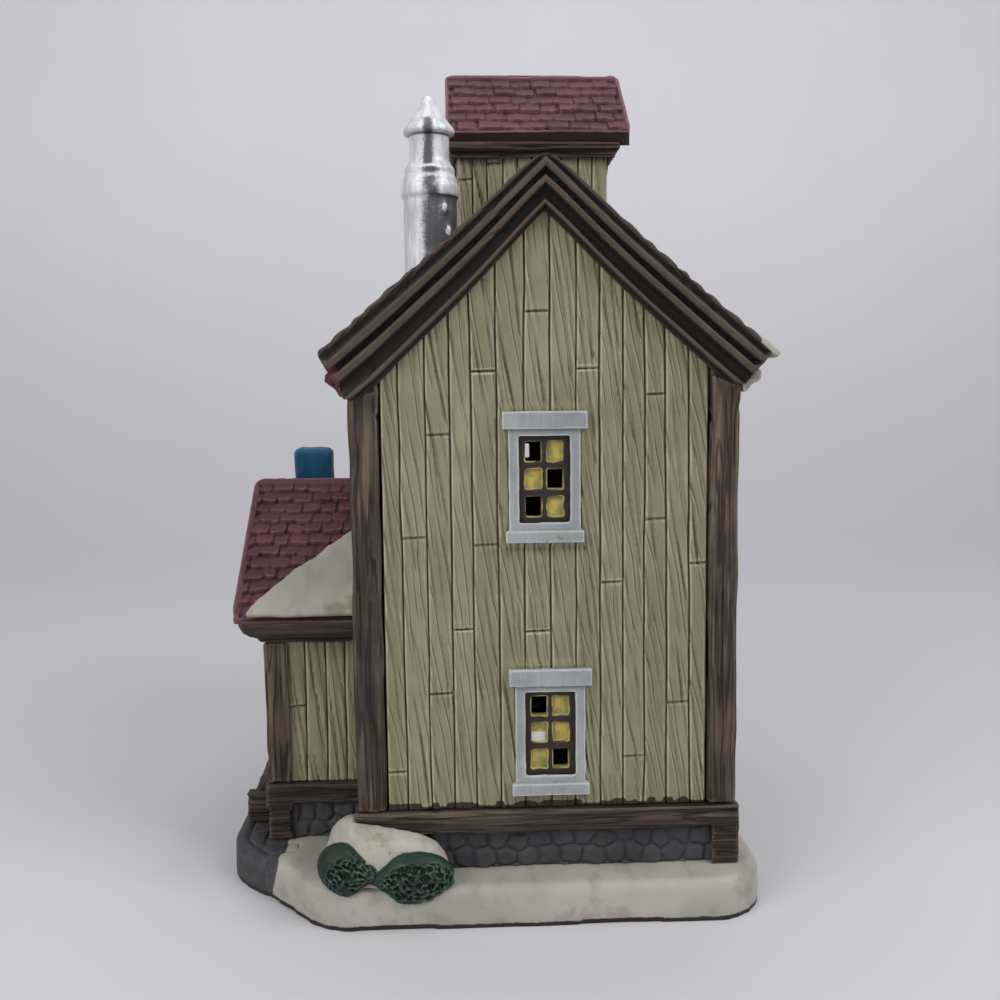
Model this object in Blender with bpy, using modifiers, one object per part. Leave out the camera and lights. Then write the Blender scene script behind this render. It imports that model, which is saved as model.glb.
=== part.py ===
"""Porcelain christmas village building, lit from inside.

A tall gabled house with a low gabled wing, a cupola and a stovepipe stands on a snowy plinth. A
lamp holder clips into a round hole in the back wall and slides out, and its bulb unscrews.

Metres, +Z up. The origin lies on the table below the middle of the near gable wall. The near gable
faces -Y and the far gable +Y, the wing is on the front at -X, and the lamp is in the back at +X.
"""

import math

import bmesh
import bpy
from mathutils import Matrix, Vector

# Fit between pieces that touch
GAP = 0.0003

# Main house
HOUSE_WIDTH = 0.0804
HOUSE_DEPTH = 0.1000
EAVE_HEIGHT = 0.1178
ROOF_PITCH = math.radians(40.2)
EAVE_OVERHANG = 0.0056
ROOF_THICKNESS = 0.0044
WALL_THICKNESS = 0.0035
POST_WIDTH = 0.0062
POST_PROUD = 0.0010

# Planks, cut as V grooves
PLANK_PITCH = 0.0051
GROOVE_WIDTH = 0.0009
GROOVE_DEPTH = 0.0006

# Shingle courses, each lapping the one below
MAIN_EXPOSURE = 0.0043
WING_EXPOSURE = 0.0036
CUPOLA_EXPOSURE = 0.0045
SHINGLE_LIP = 0.0007

# Stepped boards under the gable ends of the main roof
RAKE_PROUD = 0.0050
RAKE_STEP = 0.0014
RAKE_DROP = 0.0004
RAKE_DEPTH_APEX = 0.0106
RAKE_DEPTH_LEFT = 0.0162
RAKE_DEPTH_RIGHT = 0.0140
RAKE_TOE = 0.0006
RAKE_TOE_DROP_LEFT = 0.0091
RAKE_TOE_DROP_RIGHT = 0.0069
RAKE_FIRST_BAND = 0.42
RAKE_SECOND_BAND = 0.72

# Boards under the eaves of the main roof
EAVE_BOARD_REACH = 0.0044
EAVE_BOARD_DROP = 0.0085
EAVE_BOARD_LIP = 0.0016
EAVE_BOARD_FOOT = 0.0012

# Plinth
BASE_HEIGHT = 0.0088
BASE_MARGIN_GABLE = 0.0086
BASE_MARGIN_BACK = 0.0054
BASE_MARGIN_WING = 0.0087
BASE_TOP_ROUND = 0.0040
BASE_BACK_CORNER = 0.0120
BASE_SHOULDER_CORNER = 0.0140
BASE_SHOULDER_OUT = 0.0058
BASE_LEDGE = 0.0005

# Stone footing and sill beams
FOUNDATION_HEIGHT = 0.0083
FOUNDATION_SETBACK = 0.0005
FOUNDATION_THICKNESS = 0.0048
SILL_HEIGHT = 0.0050
SILL_PROUD = 0.0006
SILL_ROUND = 0.0008
FOOT_WIDTH = 0.0058
FOOT_THICKNESS = 0.0017

# Wing
WING_REACH = 0.0216
WING_WIDTH = 0.0640
WING_RIDGE_HEIGHT = 0.0890
WING_PITCH = math.radians(37.6)
WING_EAVE_OVERHANG = 0.0040
WING_GABLE_OVERHANG = 0.0062
WING_ROOF_THICKNESS = 0.0026
WING_POST_WIDTH = 0.0051
WING_RAKE_PROUD = 0.0060
WING_RAKE_STEP = 0.0018
WING_RAKE_DEPTH = 0.0050
FASCIA_DROP = 0.0038
FASCIA_LIP = 0.0011
PASSAGE_MARGIN = 0.0080
PASSAGE_HEIGHT = 0.0340

# Cupola, standing over the middle of the ridge
CUPOLA_OFFSET = 0.0002
CUPOLA_WIDTH = 0.0343
CUPOLA_DEPTH = 0.0340
CUPOLA_RISE = 0.0293
CUPOLA_EAVE_OVERHANG = 0.0037
CUPOLA_LEFT_OVERHANG = 0.0026
CUPOLA_RIGHT_OVERHANG = 0.0050
CUPOLA_ROOF_THICKNESS = 0.0026
CUPOLA_WALL_THICKNESS = 0.0030
MOULDING_HEIGHT = 0.0035
MOULDING_PROUD = 0.0028

# Stovepipe on the front slope, and the square chimney on the wing's far slope
PIPE_RADIUS = 0.0057
PIPE_COLLAR_RADIUS = 0.0063
PIPE_NECK_RADIUS = 0.0043
PIPE_CAP_RADIUS = 0.0055
PIPE_BEAD = 0.0006
PIPE_COLLAR_LENGTH = 0.0026
PIPE_SHOULDER_LENGTH = 0.0016
PIPE_FROM_RIDGE = 0.0231
PIPE_FROM_GABLE = 0.0160
PIPE_COLLAR_RISE = 0.0142
PIPE_NECK_RISE = 0.0218
PIPE_CAP_RISE = 0.0271
PIPE_TIP_RISE = 0.0354
CHIMNEY_WIDTH = 0.0093
CHIMNEY_HEIGHT = 0.0954
CHIMNEY_FROM_HOUSE = 0.0152
CHIMNEY_FROM_RIDGE = 0.0160

# Windows: a frame with a lintel and a sill, and a sash of two panes by three
WINDOW_OPENING_WIDTH = 0.0105
WINDOW_OPENING_HEIGHT = 0.0179
WINDOW_JAMB = 0.00215
WINDOW_HEAD = 0.0014
LINTEL_HEIGHT = 0.0036
LINTEL_EAR = 0.0013
WINDOW_SILL_HEIGHT = 0.0025
WINDOW_SILL_EAR = 0.0007
WINDOW_FOOT = 0.0016
WINDOW_PROUD = 0.0012
LINTEL_PROUD = 0.0020
SASH_THICKNESS = 0.0024
SASH_LAP = 0.0002
PANE_WIDTH = 0.0033
PANE_HEIGHT = 0.0041
PANE_PITCH_ACROSS = 0.0045
PANE_PITCH_UP = 0.0057
PANE_RECESS = 0.0008
LOWER_WINDOW_HEIGHT = 0.0254
UPPER_WINDOW_HEIGHT = 0.0790
UPPER_WINDOW_OFFSET = -0.0003
LOWER_WINDOW_OFFSET = 0.0006
WING_WINDOW_HEIGHT = 0.0280
WING_WINDOW_OFFSET = 0.0135

# Door in the wing's gable, with stone steps and a brown side board in front of it
DOOR_WIDTH = 0.0114
DOOR_HEIGHT = 0.0264
DOOR_THICKNESS = 0.0020
DOOR_OFFSET = -0.0078
DOOR_JAMB = 0.0024
DOOR_PANEL_MARGIN = 0.0019
DOOR_PANEL_RECESS = 0.0006
STEP_COUNT = 3
STEP_RISE = 0.0043
STEP_TREAD = 0.0020
STEPS_MARGIN = 0.0026
CHEEK_THICKNESS = 0.0028
CHEEK_HEIGHT = 0.0070

# Slate path let into the plinth, snow and shrubs
PATH_THICKNESS = 0.0014
PATH_PROUD = 0.0002
PATH_RIM = 0.0035
PATH_TONGUE = 0.0080
PATH_BEND = 0.0062
PATH_ROUND = 0.0030
MOUND_LENGTH = 0.0262
MOUND_FRONT = 0.0078
MOUND_HEIGHT = 0.0118
MOUND_AROUND_CORNER = 0.0072
DRIFT_THICKNESS = 0.0014
DRIFT_RISE = 0.0285
DRIFT_LENGTH = 0.0250
ROOF_SNOW_LENGTH = 0.0150
ROOF_SNOW_RISE = 0.0066
SHRUB_HEIGHT = 0.0057
SHRUB_DEPTH = 0.0040
LEFT_SHRUB_LENGTH = 0.0112
RIGHT_SHRUB_LENGTH = 0.0166

# Lamp holder and bulb, on one axis through the back wall
LAMP_HEIGHT = 0.0400
LAMP_HOLE_RADIUS = 0.0142
FLANGE_RADIUS = 0.0165
FLANGE_THICKNESS = 0.0020
BARREL_RADIUS = 0.0095
BARREL_LENGTH = 0.0235
INLET_RADIUS = 0.0042
INLET_LENGTH = 0.0065
CORD_HOLE_RADIUS = 0.0016
CLIP_THICKNESS = 0.0008
CLIP_WIDTH = 0.0060
CLIP_BAND = 0.0040
BULB_BASE_RADIUS = 0.0060
BULB_BASE_LENGTH = 0.0137
BULB_RADIUS = 0.0110
BULB_LENGTH = 0.0385
BULB_NECK_RADIUS = 0.0056

# Places worked out from the sizes above
HALF_WIDTH = HOUSE_WIDTH / 2
MIDDLE = HOUSE_DEPTH / 2
SIDE_FACE = HALF_WIDTH - POST_PROUD
POST_INNER = HALF_WIDTH - POST_WIDTH
FOUNDATION_BOTTOM = BASE_HEIGHT + GAP
FOUNDATION_TOP = BASE_HEIGHT + FOUNDATION_HEIGHT
SILL_BOTTOM = FOUNDATION_TOP + GAP
SILL_TOP = FOUNDATION_TOP + SILL_HEIGHT
WALL_BOTTOM = SILL_TOP + GAP
ROOF_SLOPE = math.tan(ROOF_PITCH)
ROOF_RUN = HALF_WIDTH + EAVE_OVERHANG
RIDGE_HEIGHT = EAVE_HEIGHT + ROOF_RUN * ROOF_SLOPE
PIPE_FOOT_HEIGHT = RIDGE_HEIGHT - PIPE_FROM_RIDGE * ROOF_SLOPE
WING_SLOPE = math.tan(WING_PITCH)
WING_HALF = WING_WIDTH / 2
WING_RUN = WING_HALF + WING_EAVE_OVERHANG
WING_OUTER = -(HALF_WIDTH + WING_REACH)
WING_FACE = WING_OUTER + POST_PROUD
WING_SIDE = WING_HALF - POST_PROUD
WING_ROOF_END = WING_OUTER - WING_GABLE_OVERHANG
FASCIA_BOTTOM = WING_RIDGE_HEIGHT - WING_RUN * WING_SLOPE - WING_ROOF_THICKNESS - FASCIA_DROP
CUPOLA_RIDGE_HEIGHT = RIDGE_HEIGHT + CUPOLA_RISE
CUPOLA_HALF_DEPTH = CUPOLA_DEPTH / 2
CUPOLA_RUN = CUPOLA_HALF_DEPTH + CUPOLA_EAVE_OVERHANG
BASE_LEFT = WING_OUTER - BASE_MARGIN_WING
BASE_RIGHT = HALF_WIDTH + BASE_MARGIN_BACK
FAR_AWAY = 4 * max(HOUSE_WIDTH, HOUSE_DEPTH, RIDGE_HEIGHT)

# An outline drawn in its own plane is stood up square to one of these axes
STAND = {
    "X": (math.pi / 2, 0.0, math.pi / 2),
    "Y": (math.pi / 2, 0.0, 0.0),
    "Z": (0.0, 0.0, 0.0),
}


def screen_colour(red, green, blue):
    """Linear colour, with alpha, of a colour given as 0 to 255 on a screen."""
    return [((value / 255 + 0.055) / 1.055) ** 2.4 for value in (red, green, blue)] + [1.0]


def finish(name, colour, roughness, metallic=0.0):
    """Painted or bare surface as a Principled material."""
    material = bpy.data.materials.new(name)
    material.use_nodes = True
    shader = material.node_tree.nodes["Principled BSDF"]
    shader.inputs["Base Color"].default_value = colour
    shader.inputs["Roughness"].default_value = roughness
    shader.inputs["Metallic"].default_value = metallic
    material.diffuse_color = colour
    return material


def clear_scene():
    """Remove every object that the scene starts with."""
    for thing in list(bpy.data.objects):
        bpy.data.objects.remove(thing, do_unlink=True)


def new_collection(name):
    """Add a collection to the scene."""
    collection = bpy.data.collections.new(name)
    bpy.context.scene.collection.children.link(collection)
    return collection


clear_scene()
PARTS = new_collection("village_house")
CUTTERS = new_collection("cutters")

PLANKS = finish("olive_planks", screen_colour(134, 132, 102), 0.75)
TIMBER = finish("dark_brown_timber", screen_colour(58, 48, 44), 0.70)
SHINGLES = finish("burgundy_shingles", screen_colour(92, 52, 62), 0.72)
STONE = finish("slate_grey_stone", screen_colour(64, 63, 69), 0.80)
SNOW = finish("warm_white_snow", screen_colour(203, 198, 184), 0.65)
TRIM = finish("pale_blue_trim", screen_colour(170, 177, 190), 0.65)
SASH = finish("brown_sash", screen_colour(56, 36, 30), 0.60)
SHRUB = finish("dark_green_shrub", screen_colour(26, 58, 48), 0.70)
SILVER = finish("silver_paint", screen_colour(190, 190, 195), 0.35, 0.8)
BLUE = finish("blue_paint", screen_colour(20, 75, 112), 0.60)
PLASTIC = finish("white_plastic", screen_colour(228, 226, 218), 0.45)
SPRING = finish("spring_steel", screen_colour(150, 150, 155), 0.30, 1.0)
BRASS = finish("brass_cap", screen_colour(180, 150, 90), 0.30, 1.0)
GLASS = finish("clear_bulb_glass", screen_colour(235, 225, 200), 0.08)


def new_piece(name, mesh, surface):
    """Object of a mesh: a part with its surface, or a hidden cutter when surface is None."""
    piece = bpy.data.objects.new(name, mesh)
    if surface is None:
        CUTTERS.objects.link(piece)
        piece.hide_render = True
        piece.display_type = "WIRE"
    else:
        PARTS.objects.link(piece)
        mesh.materials.append(surface)
    return piece


def plate(name, outlines, axis, low, high, surface):
    """Flat outline given thickness from low to high along an axis.

    An outline holds (x, y) for axis Z, (x, z) for axis Y and (y, z) for axis X. Outlines inside
    the first one are holes.
    """
    curve = bpy.data.curves.new(name, "CURVE")
    curve.dimensions = "2D"
    curve.fill_mode = "BOTH"
    curve.extrude = (high - low) / 2
    for outline in outlines:
        spline = curve.splines.new("POLY")
        spline.points.add(len(outline) - 1)
        for point, (across, up) in zip(spline.points, outline):
            point.co = (across, up, 0.0, 1.0)
        spline.use_cyclic_u = True
    drawing = bpy.data.objects.new(name + "_outline", curve)
    bpy.context.scene.collection.objects.link(drawing)
    drawing.rotation_euler = STAND[axis]
    drawing.location["XYZ".index(axis)] = (low + high) / 2
    bpy.context.view_layer.update()
    evaluated = drawing.evaluated_get(bpy.context.evaluated_depsgraph_get())
    mesh = bpy.data.meshes.new_from_object(evaluated)
    shape = bmesh.new()
    shape.from_mesh(mesh)
    bmesh.ops.remove_doubles(shape, verts=shape.verts, dist=0.000001)
    bmesh.ops.recalc_face_normals(shape, faces=shape.faces)
    shape.to_mesh(mesh)
    shape.free()
    mesh.materials.clear()
    piece = new_piece(name, mesh, surface)
    piece.matrix_world = drawing.matrix_world
    bpy.data.objects.remove(drawing, do_unlink=True)
    return piece


def box(name, low, high, surface):
    """Upright block between its lowest and its highest corner."""
    low, high = Vector(low), Vector(high)
    mesh = bpy.data.meshes.new(name)
    shape = bmesh.new()
    bmesh.ops.create_cube(shape, size=1.0)
    bmesh.ops.scale(shape, vec=high - low, verts=shape.verts)
    shape.to_mesh(mesh)
    shape.free()
    piece = new_piece(name, mesh, surface)
    piece.location = (low + high) / 2
    return piece


def blob(name, centre, radii, surface):
    """Egg-shaped soft form."""
    mesh = bpy.data.meshes.new(name)
    shape = bmesh.new()
    bmesh.ops.create_uvsphere(shape, u_segments=20, v_segments=12, radius=1.0)
    bmesh.ops.scale(shape, vec=radii, verts=shape.verts)
    shape.to_mesh(mesh)
    shape.free()
    mesh.shade_smooth()
    piece = new_piece(name, mesh, surface)
    piece.location = centre
    return piece


def turned(name, profile, foot, surface, lying=False, closed=False):
    """Round piece turned about an axis from a profile of (radius, height) points.

    The profile runs down the outer side. The axis stands up from foot, or lies along +X.
    """
    mesh = bpy.data.meshes.new(name)
    shape = bmesh.new()
    corners = [shape.verts.new((radius, 0.0, height)) for radius, height in profile]
    for start, end in zip(corners, corners[1:]):
        shape.edges.new((start, end))
    if closed:
        shape.edges.new((corners[-1], corners[0]))
    shape.to_mesh(mesh)
    shape.free()
    piece = new_piece(name, mesh, surface)
    piece.location = foot
    if lying:
        piece.rotation_euler = (0.0, math.pi / 2, 0.0)
    lathe = piece.modifiers.new("lathe", "SCREW")
    lathe.steps = 32
    lathe.render_steps = 32
    lathe.use_merge_vertices = True
    lathe.merge_threshold = 0.00001
    lathe.use_smooth_shade = True
    return piece


def boolean(piece, other, operation, solver="EXACT"):
    """Live Boolean of one piece with another."""
    change = piece.modifiers.new(operation.lower(), "BOOLEAN")
    change.operation = operation
    change.object = other
    change.solver = solver


def cut(piece, cutter, solver="EXACT"):
    """Take a cutter's shape out of a piece."""
    boolean(piece, cutter, "DIFFERENCE", solver)


def join(piece, addition):
    """Make a hidden shape part of a piece that it overlaps."""
    boolean(piece, addition, "UNION")


def round_edges(piece, width, segments, chosen):
    """Bevel the edges whose two ends, in world space, pass a test."""
    bpy.context.view_layer.update()
    place = piece.matrix_world
    weights = piece.data.attributes.new("bevel_weight_edge", "FLOAT", "EDGE")
    for edge in piece.data.edges:
        first, second = (place @ piece.data.vertices[index].co for index in edge.vertices)
        weights.data[edge.index].value = 1.0 if chosen(first, second) else 0.0
    bevel = piece.modifiers.new("round", "BEVEL")
    bevel.limit_method = "WEIGHT"
    bevel.width = width
    bevel.segments = segments


def rectangle(left, right, bottom, top):
    """Four corners of an upright rectangle."""
    return [(left, bottom), (right, bottom), (right, top), (left, top)]


def rounded_outline(corners, steps=6):
    """Polygon whose corners, given as (x, y, radius), are rounded by arcs."""
    points = []
    for index, (x, y, radius) in enumerate(corners):
        corner = Vector((x, y))
        before = (Vector(corners[index - 1][:2]) - corner).normalized()
        after = (Vector(corners[(index + 1) % len(corners)][:2]) - corner).normalized()
        half_angle = before.angle(after) / 2
        centre = corner + (before + after).normalized() * radius / math.sin(half_angle)
        start = corner + before * radius / math.tan(half_angle) - centre
        end = corner + after * radius / math.tan(half_angle) - centre
        turn = start.angle_signed(end)
        for step in range(steps + 1):
            spoke = start.copy()
            spoke.rotate(Matrix.Rotation(-turn * step / steps, 2))
            points.append(tuple(centre + spoke))
    return points


def plank_side(start, end, depth_direction):
    """Plan line of a planked face from start to end, with a V groove between planks."""
    start, end, inward = Vector(start), Vector(end), Vector(depth_direction)
    length = (end - start).length
    along = (end - start) / length
    count = max(1, round(length / PLANK_PITCH))
    points = [start]
    for index in range(1, count):
        middle = start + along * length * index / count
        points.append(middle - along * GROOVE_WIDTH / 2)
        points.append(middle + inward * GROOVE_DEPTH)
        points.append(middle + along * GROOVE_WIDTH / 2)
    points.append(end)
    return [tuple(point) for point in points]


def courses(run, pitch, thickness, exposure):
    """Section of one roof slope, from its ridge at (0, 0) outwards, with lapped courses.

    The lower edge of each course lies on the slope's line and the next course starts a lip below.
    """
    slope = math.tan(pitch)
    start = GAP / 2
    length = (run - start) / math.cos(pitch)
    count = round(length / exposure)
    down = Vector((math.cos(pitch), -math.sin(pitch)))
    outward = Vector((math.sin(pitch), math.cos(pitch)))
    top = Vector((start, -start * slope))
    points = [top]
    for index in range(1, count):
        edge = top + down * length * index / count
        points.append(edge)
        points.append(edge - outward * SHINGLE_LIP)
    points.append(top + down * length)
    points.append(Vector((run, -run * slope - thickness)))
    points.append(Vector((start, -start * slope - thickness)))
    return [tuple(point) for point in points]


def slope_plate(name, side, centre, ridge_height, section, axis, low, high, surface):
    """Roof slope on one side of a ridge, from a section drawn outwards from the ridge."""
    outline = [(centre + side * out, ridge_height + up) for out, up in section]
    return plate(name, [outline], axis, low, high, surface)


def gable_region(name, axis, centre, apex, slope, above):
    """Cutter that fills everything above, or below, a pair of roof lines."""
    edge = apex - FAR_AWAY * slope
    far = FAR_AWAY if above else edge - FAR_AWAY
    outline = [
        (centre - FAR_AWAY, edge),
        (centre, apex),
        (centre + FAR_AWAY, edge),
        (centre + FAR_AWAY, far),
        (centre - FAR_AWAY, far),
    ]
    return plate(name, [outline], axis, -FAR_AWAY, FAR_AWAY, None)


def stepped_chevron(name, stations, steps, place, surface):
    """Moulding that follows a gable, lofted through sections that differ in depth.

    A station is a pair of points, on the moulding's outer and inner line. Each step is the share
    of the way from the outer to the inner line where it ends, and how far it stands out.
    """
    section = [(0.0, GAP)]
    reached = 0.0
    for share, depth in steps:
        section.append((reached, depth))
        section.append((share, depth))
        reached = share
    section.append((1.0, GAP))
    mesh = bpy.data.meshes.new(name)
    shape = bmesh.new()
    rings = []
    for outer, inner in stations:
        outer, inner = Vector(outer), Vector(inner)
        ring = []
        for share, depth in section:
            across, up = outer.lerp(inner, share)
            ring.append(shape.verts.new(place(across, up, depth)))
        rings.append(ring)
    for ring, following in zip(rings, rings[1:]):
        for index in range(len(section)):
            after = (index + 1) % len(section)
            shape.faces.new((ring[index], ring[after], following[after], following[index]))
    shape.faces.new(rings[0])
    shape.faces.new(rings[-1])
    bmesh.ops.recalc_face_normals(shape, faces=shape.faces)
    shape.to_mesh(mesh)
    shape.free()
    return new_piece(name, mesh, surface)


class Facade:
    """Wall face that windows and doors sit in, square to one axis."""

    def __init__(self, axis, face, outward):
        self.axis = axis
        self.face = face
        self.outward = outward

    def plate(self, name, outlines, start, end, surface):
        """Plate between two distances out from the wall face."""
        ends = sorted((self.face + self.outward * start, self.face + self.outward * end))
        return plate(name, outlines, self.axis, ends[0], ends[1], surface)


def base_body(name, grow, surface):
    """Plinth without its openings, or a copy grown on all sides to clear what rests on it."""
    near = -BASE_MARGIN_GABLE - grow
    far = HOUSE_DEPTH + BASE_MARGIN_GABLE + grow
    left = BASE_LEFT - grow
    right = BASE_RIGHT + grow
    shoulder = -HALF_WIDTH - BASE_SHOULDER_OUT
    wing_near = MIDDLE - WING_SIDE
    wing_far = MIDDLE + WING_SIDE
    back_corner = BASE_BACK_CORNER + grow
    side_corner = BASE_SHOULDER_CORNER + grow
    outline = rounded_outline([
        (shoulder, near, side_corner),
        (right, near, back_corner),
        (right, far, back_corner),
        (shoulder, far, side_corner),
        (left, wing_far, side_corner),
        (left, wing_near, side_corner),
    ])
    top = BASE_HEIGHT + grow
    piece = plate(name, [outline], "Z", 0.0, top, surface)
    round_edges(piece, BASE_TOP_ROUND, 3, lambda a, b: min(a.z, b.z) > top - GAP)
    return piece


def path_outline(grow):
    """Plan of the slate path along the wing, with a tongue towards the near gable."""
    left = BASE_LEFT + PATH_RIM - grow
    right = WING_OUTER - SILL_PROUD - 2 * GAP + grow
    near = MIDDLE - WING_HALF - SILL_PROUD - FOOT_THICKNESS / 2
    far = MIDDLE + WING_SIDE
    tip = near - PATH_TONGUE * 0.7
    return [
        (left, near + PATH_ROUND),
        (left + PATH_BEND, tip - grow),
        (right + PATH_TONGUE, near - PATH_ROUND - grow),
        (right + PATH_TONGUE, near + grow),
        (right, near + grow),
        (right, far + grow),
        (left, far + grow),
    ]


def make_plinth():
    """Snowy plinth, open under the house and under the wing, and the slate path let into it."""
    plinth = base_body("base_plinth", 0.0, SNOW)
    inset = FOUNDATION_SETBACK + FOUNDATION_THICKNESS + BASE_LEDGE
    under_house = box(
        "under_house_cutter",
        (-HALF_WIDTH + inset, inset, -BASE_HEIGHT),
        (HALF_WIDTH - inset, HOUSE_DEPTH - inset, 2 * BASE_HEIGHT),
        None,
    )
    under_wing = box(
        "under_wing_cutter",
        (WING_OUTER + POST_PROUD + inset, MIDDLE - WING_SIDE + inset, -BASE_HEIGHT),
        (-HALF_WIDTH - BASE_LEDGE, MIDDLE + WING_SIDE - inset, 2 * BASE_HEIGHT),
        None,
    )
    cut(plinth, under_house)
    cut(plinth, under_wing)
    top = BASE_HEIGHT + PATH_PROUD
    bottom = top - PATH_THICKNESS
    pocket = plate("path_pocket", [path_outline(GAP)], "Z", bottom - GAP, 2 * BASE_HEIGHT, None)
    cut(plinth, pocket)
    plate("slate_path", [path_outline(0.0)], "Z", bottom, top, STONE)


def make_foundations():
    """Stone footing ring under the house and the open ring under the wing."""
    near = FOUNDATION_SETBACK
    far = HOUSE_DEPTH - FOUNDATION_SETBACK
    side = HALF_WIDTH - FOUNDATION_SETBACK
    inner = FOUNDATION_THICKNESS
    outer_ring = rectangle(-side, side, near, far)
    inner_ring = rectangle(-side + inner, side - inner, near + inner, far - inner)
    plate("main_foundation", [outer_ring, inner_ring], "Z", FOUNDATION_BOTTOM, FOUNDATION_TOP, STONE)

    left = WING_FACE - FOUNDATION_SETBACK + POST_PROUD
    wing_side = WING_SIDE - FOUNDATION_SETBACK + POST_PROUD / 2
    outline = open_ring(left, -side - GAP, wing_side, inner)
    plate("wing_foundation", [outline], "Z", FOUNDATION_BOTTOM, FOUNDATION_TOP, STONE)


def open_ring(left, right, half, thickness):
    """Plan of a ring round the wing that is open towards the house."""
    return [
        (right, MIDDLE - half),
        (left, MIDDLE - half),
        (left, MIDDLE + half),
        (right, MIDDLE + half),
        (right, MIDDLE + half - thickness),
        (left + thickness, MIDDLE + half - thickness),
        (left + thickness, MIDDLE - half + thickness),
        (right, MIDDLE - half + thickness),
    ]


def soften(beam):
    """Worn round edges along the outer sides of a beam."""
    round_edges(beam, SILL_ROUND, 1, lambda a, b: (a - b).length > POST_WIDTH + SILL_PROUD * 2)


def make_sill_beams():
    """Beams on the footing, with feet at the gable corners that reach down to the plinth."""
    reach = HALF_WIDTH + SILL_PROUD
    face = POST_PROUD + SILL_PROUD
    back = POST_WIDTH - POST_PROUD
    for name, facade in (("near", NEAR_GABLE), ("far", FAR_GABLE)):
        outline = rectangle(-reach, reach, SILL_BOTTOM, SILL_TOP)
        beam = facade.plate(name + "_sill_beam", [outline], -back, face, TIMBER)
        soften(beam)
        for side in (-1, 1):
            across = sorted((side * reach, side * (reach - FOOT_WIDTH)))
            foot_outline = rectangle(across[0], across[1], FOUNDATION_BOTTOM, SILL_TOP - SILL_ROUND)
            foot_name = f"{name}_foot_{side:+d}"
            foot = facade.plate(foot_name, [foot_outline], face - FOOT_THICKNESS, face - GAP, None)
            join(beam, foot)

    start = back + GAP
    end = HOUSE_DEPTH - back - GAP
    box("front_sill_beam", (-HALF_WIDTH, start, SILL_BOTTOM), (-POST_INNER, end, SILL_TOP), TIMBER)
    box("back_sill_beam", (POST_INNER, start, SILL_BOTTOM), (reach, end, SILL_TOP), TIMBER)

    wing_reach = WING_OUTER - SILL_PROUD
    wing_half = WING_HALF + SILL_PROUD
    outline = open_ring(wing_reach, -HALF_WIDTH - GAP, wing_half, WING_POST_WIDTH + SILL_PROUD)
    beam = plate("wing_sill_beam", [outline], "Z", SILL_BOTTOM, SILL_TOP, TIMBER)
    for side in (-1, 1):
        outer = MIDDLE + side * (wing_half - GAP)
        inner = MIDDLE + side * (wing_half - POST_PROUD + GAP / 2)
        ends = sorted((outer, inner))
        foot = box(
            f"wing_foot_{side:+d}",
            (wing_reach + GAP, ends[0], FOUNDATION_BOTTOM),
            (wing_reach + FOOT_WIDTH, ends[1], SILL_TOP - SILL_ROUND),
            None,
        )
        join(beam, foot)


def make_walls():
    """Four planked walls of the house between its corner posts, cut to the roof above them."""
    top = RIDGE_HEIGHT
    end = POST_INNER - GAP
    for name, facade, inward in (("near", NEAR_GABLE, 1), ("far", FAR_GABLE, -1)):
        face = facade.face
        outline = plank_side((-end, face), (end, face), (0.0, inward))
        inner = face + inward * WALL_THICKNESS
        outline += [(end, inner), (-end, inner)]
        wall = plate(name + "_gable_wall", [outline], "Z", WALL_BOTTOM, top, PLANKS)
        cut(wall, UNDER_MAIN_ROOF)
        for height, offset in WINDOW_PLACES:
            cut_window(wall, facade, offset, height, f"{name}_{height:.4f}")

    start = POST_WIDTH - POST_PROUD + GAP
    stop = HOUSE_DEPTH - start
    for name, side in (("front", -1), ("back", 1)):
        face = side * SIDE_FACE
        inner = side * (SIDE_FACE - WALL_THICKNESS)
        outline = plank_side((face, start), (face, stop), (-side, 0.0))
        outline += [(inner, stop), (inner, start)]
        wall = plate(name + "_wall", [outline], "Z", WALL_BOTTOM, top, PLANKS)
        cut(wall, UNDER_MAIN_ROOF)
        cut(wall, lamp_hole_cutter() if side > 0 else passage_cutter())


def passage_cutter():
    """Opening through the front wall that lets the light into the wing."""
    half = WING_SIDE - PASSAGE_MARGIN
    bottom = WALL_BOTTOM + PASSAGE_MARGIN / 2
    return box(
        "passage_cutter",
        (-SIDE_FACE - WALL_THICKNESS, MIDDLE - half, bottom),
        (-SIDE_FACE + 2 * WALL_THICKNESS, MIDDLE + half, bottom + PASSAGE_HEIGHT),
        None,
    )


def lamp_hole_cutter():
    """Round hole through the back wall for the lamp holder."""
    span = 2 * WALL_THICKNESS
    profile = [(0.0, span), (LAMP_HOLE_RADIUS, span), (LAMP_HOLE_RADIUS, -span), (0.0, -span)]
    return turned("lamp_hole_cutter", profile, (SIDE_FACE, MIDDLE, LAMP_HEIGHT), None, lying=True)


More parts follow.
